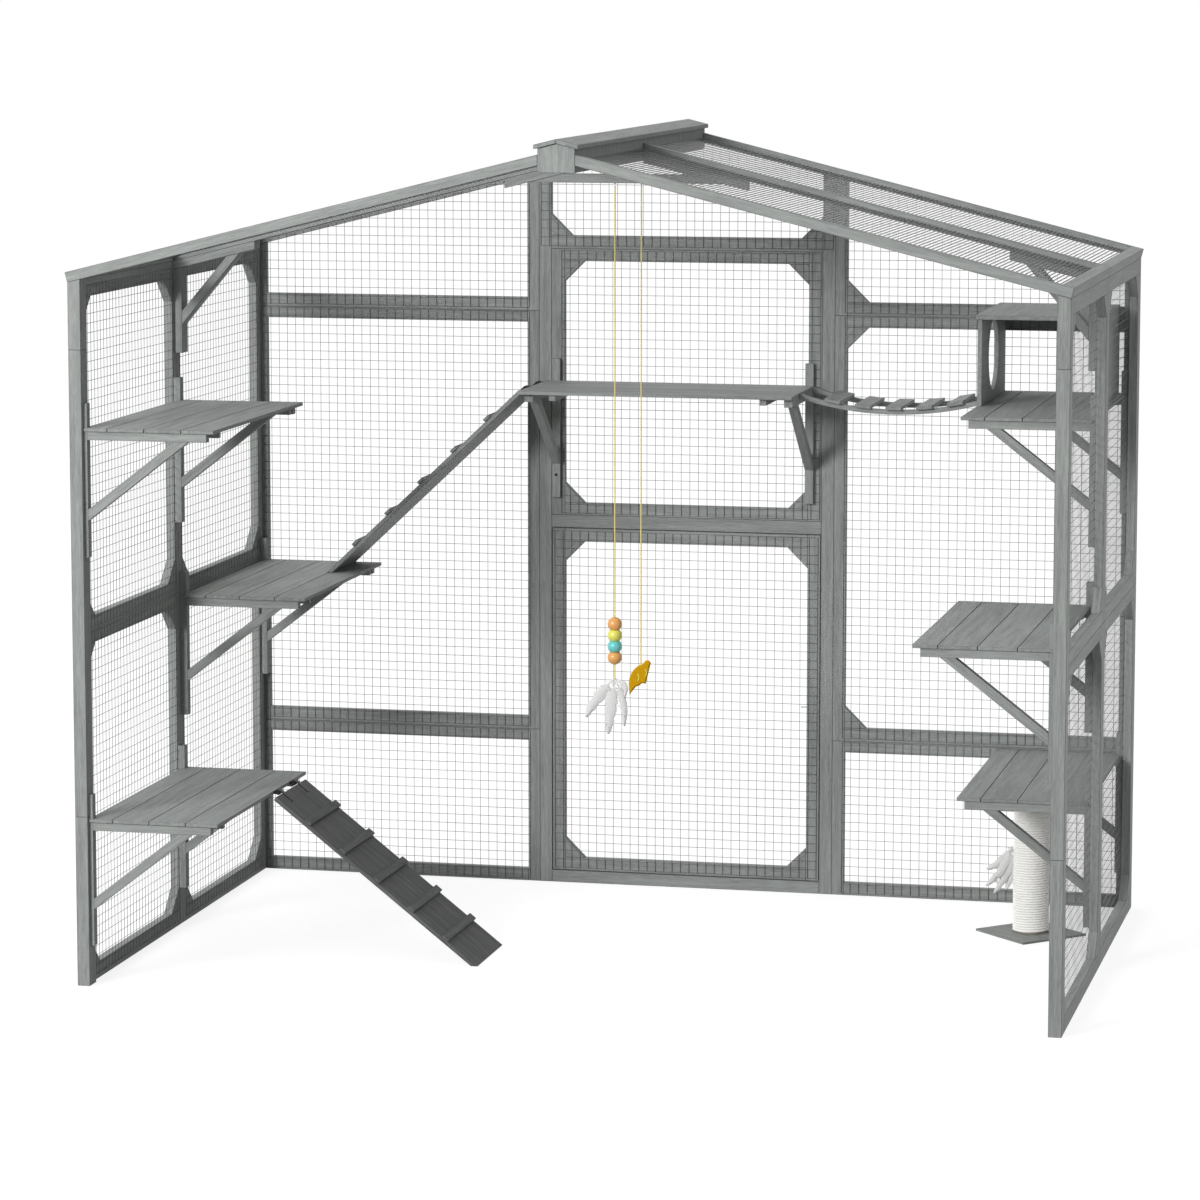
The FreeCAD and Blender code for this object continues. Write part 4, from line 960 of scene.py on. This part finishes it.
class ENCLOSURE_OT_scratch_post(bpy.types.Operator):
    """Scratching post with its rope, core and feather tuft"""

    bl_idname = "enclosure.scratch_post"
    bl_label = "Scratching post"

    def execute(self, context):
        settings = context.scene.enclosure.post
        low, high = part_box("scratch_sisal")
        rope = settings.rope_diameter
        ring = (high[0] - low[0] - rope) / 2
        bottom, top = low[2] + rope / 2, high[2] - rope / 2
        turns = int((top - bottom) / rope)
        pitch = (top - bottom) / turns
        bm = bmesh.new()
        lay = Matrix.Translation(POST_CENTRE + Vector((ring, 0, bottom)))
        lay = lay @ Matrix.Rotation(math.pi / 2, 4, "X")
        profile = bmesh.ops.create_circle(
            bm, segments=8, radius=rope * ROPE_SQUASH, matrix=lay
        )["verts"]
        edges = list(dict.fromkeys(e for vert in profile for e in vert.link_edges))
        bmesh.ops.spin(bm, geom=profile + edges, cent=POST_CENTRE, axis=(0, 0, 1),
                       dvec=(0, 0, pitch / ROPE_STEPS), angle=2 * math.pi, steps=ROPE_STEPS)
        turn = [*bm.verts, *bm.edges, *bm.faces]
        bmesh.ops.spin(bm, geom=turn, axis=(0, 0, 1), dvec=(0, 0, pitch), angle=0.0,
                       steps=turns - 1, use_duplicate=True)
        bmesh.ops.remove_doubles(bm, verts=bm.verts[:], dist=1e-5)
        bmesh.ops.holes_fill(bm, edges=[e for e in bm.edges if e.is_boundary], sides=8)
        face_outward(bm)
        for face in bm.faces:
            face.smooth = True
        sisal = speckled("bleached_sisal", settings.sisal, scale=(140.0, 140.0, 900.0), depth=0.22,
                         dullness=0.85, bump=0.6, bump_depth=0.0010, Sheen_Weight=0.15)
        add_piece("scratch_rope", bm, "enclosure", [sisal], ["scratch_sisal"])

        core_low, core_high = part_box("scratch_core")
        foot, head = (Vector((*POST_CENTRE.xy, end[2])) for end in (core_low, core_high))
        bm = bmesh.new()
        add_rod(bm, foot, head, ring - rope * ROPE_BED, segments=48)
        ease_edges(bm, 0.002)
        card = speckled("card_core", CARD, scale=(60.0, 60.0, 300.0), depth=0.2, dullness=0.8,
                        bump=0.2)
        add_piece("scratch_tube", bm, "enclosure", [card], ["scratch_core"])

        feather = down_material("white_down")
        pick = random.Random(31)
        bm = bmesh.new()
        for angle, length, slant in POST_PLUMES:
            lean = math.radians(angle)
            tip = POST_TUFT + Vector((-math.sin(lean), slant, -math.cos(lean))) * length
            add_feather(bm, POST_TUFT, tip, POST_PLUME_WIDTH, POST_PLUME_BEND, pick)
        face_outward(bm)
        add_piece("scratch_tuft", bm, "enclosure", [feather], ["scratch_feathers"])
        return {"FINISHED"}


def add_cord(name, top, bottom, diameter, material):
    """A straight hanging cord on a smooth spline."""
    curve = bpy.data.curves.new(name, "CURVE")
    curve.dimensions = "3D"
    curve.bevel_depth = diameter / 2
    curve.bevel_resolution = 3
    curve.use_fill_caps = True
    spline = curve.splines.new("NURBS")
    route = (top, top.lerp(bottom, 0.33), top.lerp(bottom, 0.67), bottom)
    spline.points.add(len(route) - 1)
    for point, place in zip(spline.points, route):
        point.co = (*place, 1.0)
    spline.order_u = 3
    spline.use_endpoint_u = True
    curve.materials.append(material)
    return add_object(name, curve)


def add_beads(settings):
    """A row of painted beads on one bore, pressed flat where they meet."""
    paints = [
        speckled(name, getattr(settings, name), scale=150.0, depth=0.06, dullness=0.32, bump=0.02,
                 Coat_Weight=0.3)
        for name in ("orange_paint", "yellow_paint", "teal_paint")
    ]
    low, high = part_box("toy_beads")
    row = (Vector(low) + Vector(high)) / 2
    radius, step = (high[0] - low[0]) / 2, (high[2] - low[2]) / len(BEAD_PAINTS)
    half = step / 2 - BEAD_GAP
    pressed, free = math.asin(half / radius), math.acos(BEAD_BORE / radius)
    bm = bmesh.new()
    for spot, paint in enumerate(BEAD_PAINTS):
        middle = Vector((row.x, row.y, high[2] - step * (spot + 0.5)))
        low_turn = -free if spot == len(BEAD_PAINTS) - 1 else -pressed
        high_turn = free if spot == 0 else pressed
        rim = []
        for part in range(BEAD_PARTS + 1):
            turn = low_turn + (high_turn - low_turn) * part / BEAD_PARTS
            out, up = radius * math.cos(turn), radius * math.sin(turn)
            rim.append(bm.verts.new(middle + Vector((out, 0, up))))
        for end, turn in ((half, high_turn), (-half, low_turn)):
            if abs(turn) == pressed:
                rim.append(bm.verts.new(middle + Vector((BEAD_BORE, 0, end))))
        edges = [bm.edges.new(pair) for pair in zip(rim, rim[1:] + rim[:1])]
        before = len(bm.faces)
        bmesh.ops.spin(bm, geom=rim + edges, cent=middle, axis=(0, 0, 1), angle=2 * math.pi,
                       steps=BEAD_TURNS, use_merge=True)
        bm.faces.ensure_lookup_table()
        for face in bm.faces[before:]:
            face.material_index = paint
            face.smooth = True
    bmesh.ops.remove_doubles(bm, verts=bm.verts[:], dist=1e-6)
    face_outward(bm)
    return add_piece("bead_row", bm, "left_toy", paints, ["toy_beads"])


def add_fish(settings):
    """A felt fish whose flanks swell from a thin rim, with two rows of stitches."""
    low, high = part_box("toy_fish")
    middle, half = (low[1] + high[1]) / 2, (high[1] - low[1]) / 2
    bm = boards_of("toy_fish")
    flanks = [f for f in bm.faces if abs(f.normal.y) > 0.9]
    rim = list(bm.verts)
    for inset, swell in FISH_SWELL:
        bmesh.ops.inset_individual(bm, faces=flanks, thickness=inset, depth=0.0)
        for face in flanks:
            for vert in face.verts:
                vert.co.y = middle + math.copysign(half * swell, vert.co.y - middle)
    for vert in rim:
        vert.co.y = middle + (vert.co.y - middle) * FISH_RIM
    for face in bm.faces:
        face.smooth = face not in flanks
    low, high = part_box("right_toy_cord")
    for across, up in FISH_STITCHES:
        centre = Vector(((low[0] + high[0]) / 2 + across, middle - half, low[2] + up))
        lay = Matrix.Translation(centre) @ Matrix.Rotation(math.radians(50), 4, "Y")
        lay = lay @ Matrix.Translation((STITCH_BEND, 0, 0))
        profile = bmesh.ops.create_circle(bm, segments=6, radius=STITCH_RADIUS)["verts"]
        bmesh.ops.transform(bm, verts=profile, matrix=lay)
        edges = list(dict.fromkeys(e for vert in profile for e in vert.link_edges))
        before = set(bm.faces)
        bmesh.ops.spin(bm, geom=profile + edges, cent=centre, axis=(0, 1, 0),
                       angle=math.radians(-100), steps=10)
        bmesh.ops.holes_fill(bm, edges=[e for e in bm.edges if e.is_boundary], sides=6)
        for face in set(bm.faces) - before:
            face.material_index = 1
            face.smooth = len(face.verts) == 4
    face_outward(bm)
    felt = speckled("gold_felt", settings.felt_gold, scale=700.0, depth=0.4, dullness=0.9,
                    bump=0.6, bump_depth=0.0008, Specular_IOR_Level=0.1)
    stitch = speckled("yellow_stitch", settings.yellow_paint, scale=900.0, depth=0.2, dullness=0.7,
                      bump=0.3)
    add_piece("felt_fish", bm, "right_toy", [felt, stitch], ["toy_fish"])


class ENCLOSURE_OT_toys(bpy.types.Operator):
    """Two toys on cords: beads with a feather tuft, and a felt fish"""

    bl_idname = "enclosure.toys"
    bl_label = "Hanging toys"

    def execute(self, context):
        settings = context.scene.enclosure.toys
        low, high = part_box("toy_beads")
        root = (Vector(low) + Vector(high)) / 2
        root.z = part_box("toy_feathers")[1][2]
        beads = add_beads(settings)
        feather = down_material("toy_down")
        pick = random.Random(17)
        bm = bmesh.new()
        for across, down, half_width, bend in TOY_PLUMES:
            tip = root + Vector((across, pick.uniform(-0.012, 0.012), -down))
            add_feather(bm, root, tip, half_width, bend, pick)
        face_outward(bm)
        add_piece("feather_tuft", bm, "left_toy", [feather], ["toy_feathers"])
        add_fish(settings)

        twine = speckled("pale_twine", settings.cord_colour, scale=(900.0, 900.0, 260.0),
                         depth=0.4, dullness=0.8, bump=0.6, bump_depth=0.0006)
        for name, body, node, carried in (
            ("left_twine", "left_toy", "left_toy_cord", [beads]),
            ("right_twine", "right_toy", "right_toy_cord", []),
        ):
            low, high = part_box(node)
            x, y = (low[0] + high[0]) / 2, (low[1] + high[1]) / 2
            top, bottom = Vector((x, y, high[2])), Vector((x, y, low[2]))
            cord = add_cord(name, top, bottom, settings.cord_diameter, twine)
            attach(cord, body)
            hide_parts(node)
        return {"FINISHED"}


def add_camera(scene, settings):
    """The camera that the rest view is taken with."""
    view = bpy.data.cameras.new("camera")
    view.lens = settings.lens
    view.sensor_width = 36.0
    view.shift_y = settings.lens_shift
    view.clip_end = 200.0
    camera = add_object("camera", view)
    camera.location = settings.camera_place
    camera.rotation_euler = (math.pi / 2 - settings.camera_pitch, 0.0, settings.camera_yaw)
    scene.camera = camera


def add_world(scene, settings):
    """White to the eye; its light comes from above and more from the left."""
    world = bpy.data.worlds.new("white_studio")
    scene.world = world
    world.use_nodes = True
    tree = world.node_tree
    nodes, links = tree.nodes, tree.links
    nodes.clear()
    seen = seen_rays(tree)
    place = nodes.new("ShaderNodeTexCoord")
    split = nodes.new("ShaderNodeSeparateXYZ")
    links.new(place.outputs["Generated"], split.inputs["Vector"])
    rise = calc(tree, "MAXIMUM", split.outputs["Z"], 0.0)
    leftward = calc(tree, "MULTIPLY", split.outputs["X"], SKY_LEAN)
    leftward = calc(tree, "SUBTRACT", 1.0, leftward)
    light = calc(tree, "MULTIPLY", rise, settings.sky)
    light = calc(tree, "MULTIPLY", light, leftward)
    light = calc(tree, "ADD", light, SKY_LEAST)
    strength = nodes.new("ShaderNodeMix")
    links.new(seen, strength.inputs["Factor"])
    links.new(light, strength.inputs["A"])
    strength.inputs["B"].default_value = 1.0
    backdrop = nodes.new("ShaderNodeBackground")
    backdrop.inputs["Color"].default_value = (1.0, 1.0, 1.0, 1.0)
    links.new(strength.outputs["Result"], backdrop.inputs["Strength"])
    sky = nodes.new("ShaderNodeOutputWorld")
    links.new(backdrop.outputs["Background"], sky.inputs["Surface"])


def add_floor():
    """A wide floor that looks white and gives back little light."""
    pale = bpy.data.materials.new("pale_floor")
    pale.use_nodes = True
    tree = pale.node_tree
    nodes, links = tree.nodes, tree.links
    nodes.clear()
    matt = nodes.new("ShaderNodeBsdfDiffuse")
    matt.inputs["Color"].default_value = (FLOOR_GREY, FLOOR_GREY, FLOOR_GREY, 1.0)
    glow = nodes.new("ShaderNodeEmission")
    strength = calc(tree, "MULTIPLY", seen_rays(tree), FLOOR_GLOW)
    links.new(strength, glow.inputs["Strength"])
    both = nodes.new("ShaderNodeAddShader")
    links.new(matt.outputs["BSDF"], both.inputs[0])
    links.new(glow.outputs["Emission"], both.inputs[1])
    links.new(both.outputs["Shader"], nodes.new("ShaderNodeOutputMaterial").inputs["Surface"])
    bm = bmesh.new()
    bmesh.ops.create_grid(bm, x_segments=4, y_segments=4, size=30.0,
                          matrix=Matrix.Translation((0, 0, -FLOOR_DROP)))
    floor = add_mesh("floor", bm, [pale])


def add_light(lamp, line):
    """A lamp that shines along a line."""
    light = add_object(lamp.name, lamp)
    light.rotation_euler = line.to_track_quat("-Z", "Y").to_euler()
    return light


class ENCLOSURE_OT_stage(bpy.types.Operator):
    """Camera, pale floor and soft light"""

    bl_idname = "enclosure.stage"
    bl_label = "Stage"

    def execute(self, context):
        scene = context.scene
        settings = scene.enclosure.stage
        scene.view_settings.view_transform = "Standard"
        add_camera(scene, settings)
        add_world(scene, settings)
        add_floor()
        for name, place, target, width, height, power in (
            ("key", (-5.0, -9.4, 4.8), (0.0, 0.0, 1.0), 3.6, 2.8, settings.key_power),
            ("right_fill", (3.3, -0.4, 1.2), (1.285, -0.1, 1.0), 2.2, 1.8, settings.fill_power),
        ):
            lamp = bpy.data.lights.new(name, "AREA")
            lamp.shape = "RECTANGLE"
            lamp.size, lamp.size_y, lamp.energy = width, height, power
            light = add_light(lamp, Vector(target) - Vector(place))
            light.location = place
            light.visible_camera = False

        # Level light on the outer faces at the back, without glints on the wires and ribs
        lamp = bpy.data.lights.new("back_fill", "SUN")
        lamp.energy, lamp.angle = settings.back_light, math.radians(16)
        add_light(lamp, BACK_LIGHT_LINE).visible_glossy = False
        return {"FINISHED"}


OPERATORS = (
    ENCLOSURE_OT_timber,
    ENCLOSURE_OT_wire_mesh,
    ENCLOSURE_OT_roof_sheets,
    ENCLOSURE_OT_fittings,
    ENCLOSURE_OT_scratch_post,
    ENCLOSURE_OT_toys,
    ENCLOSURE_OT_stage,
)


class ENCLOSURE_PT_panel(bpy.types.Panel):
    """Sizes, colours and build steps of the enclosure"""

    bl_idname = "ENCLOSURE_PT_panel"
    bl_label = "Cat enclosure"
    bl_space_type = "VIEW_3D"
    bl_region_type = "UI"
    bl_category = "Enclosure"

    def draw(self, context):
        settings = context.scene.enclosure
        for operator in OPERATORS:
            self.layout.operator(operator.bl_idname)
        for part in EnclosureSettings.__annotations__:
            group = getattr(settings, part)
            box = self.layout.box()
            for name in group.__annotations__:
                box.prop(group, name)


CLASSES = (
    TimberSettings,
    MeshSettings,
    RoofSettings,
    PostSettings,
    ToySettings,
    StageSettings,
    EnclosureSettings,
    *OPERATORS,
    ENCLOSURE_PT_panel,
)


def register():
    for item in CLASSES:
        bpy.utils.register_class(item)
    bpy.types.Scene.enclosure = bpy.props.PointerProperty(type=EnclosureSettings)


def unregister():
    del bpy.types.Scene.enclosure
    for item in reversed(CLASSES):
        bpy.utils.unregister_class(item)


def main():
    register()
    bpy.ops.enclosure.timber()
    bpy.ops.enclosure.wire_mesh()
    bpy.ops.enclosure.roof_sheets()
    bpy.ops.enclosure.fittings()
    bpy.ops.enclosure.scratch_post()
    bpy.ops.enclosure.toys()
    bpy.ops.enclosure.stage()


if __name__ == "__main__":
    main()
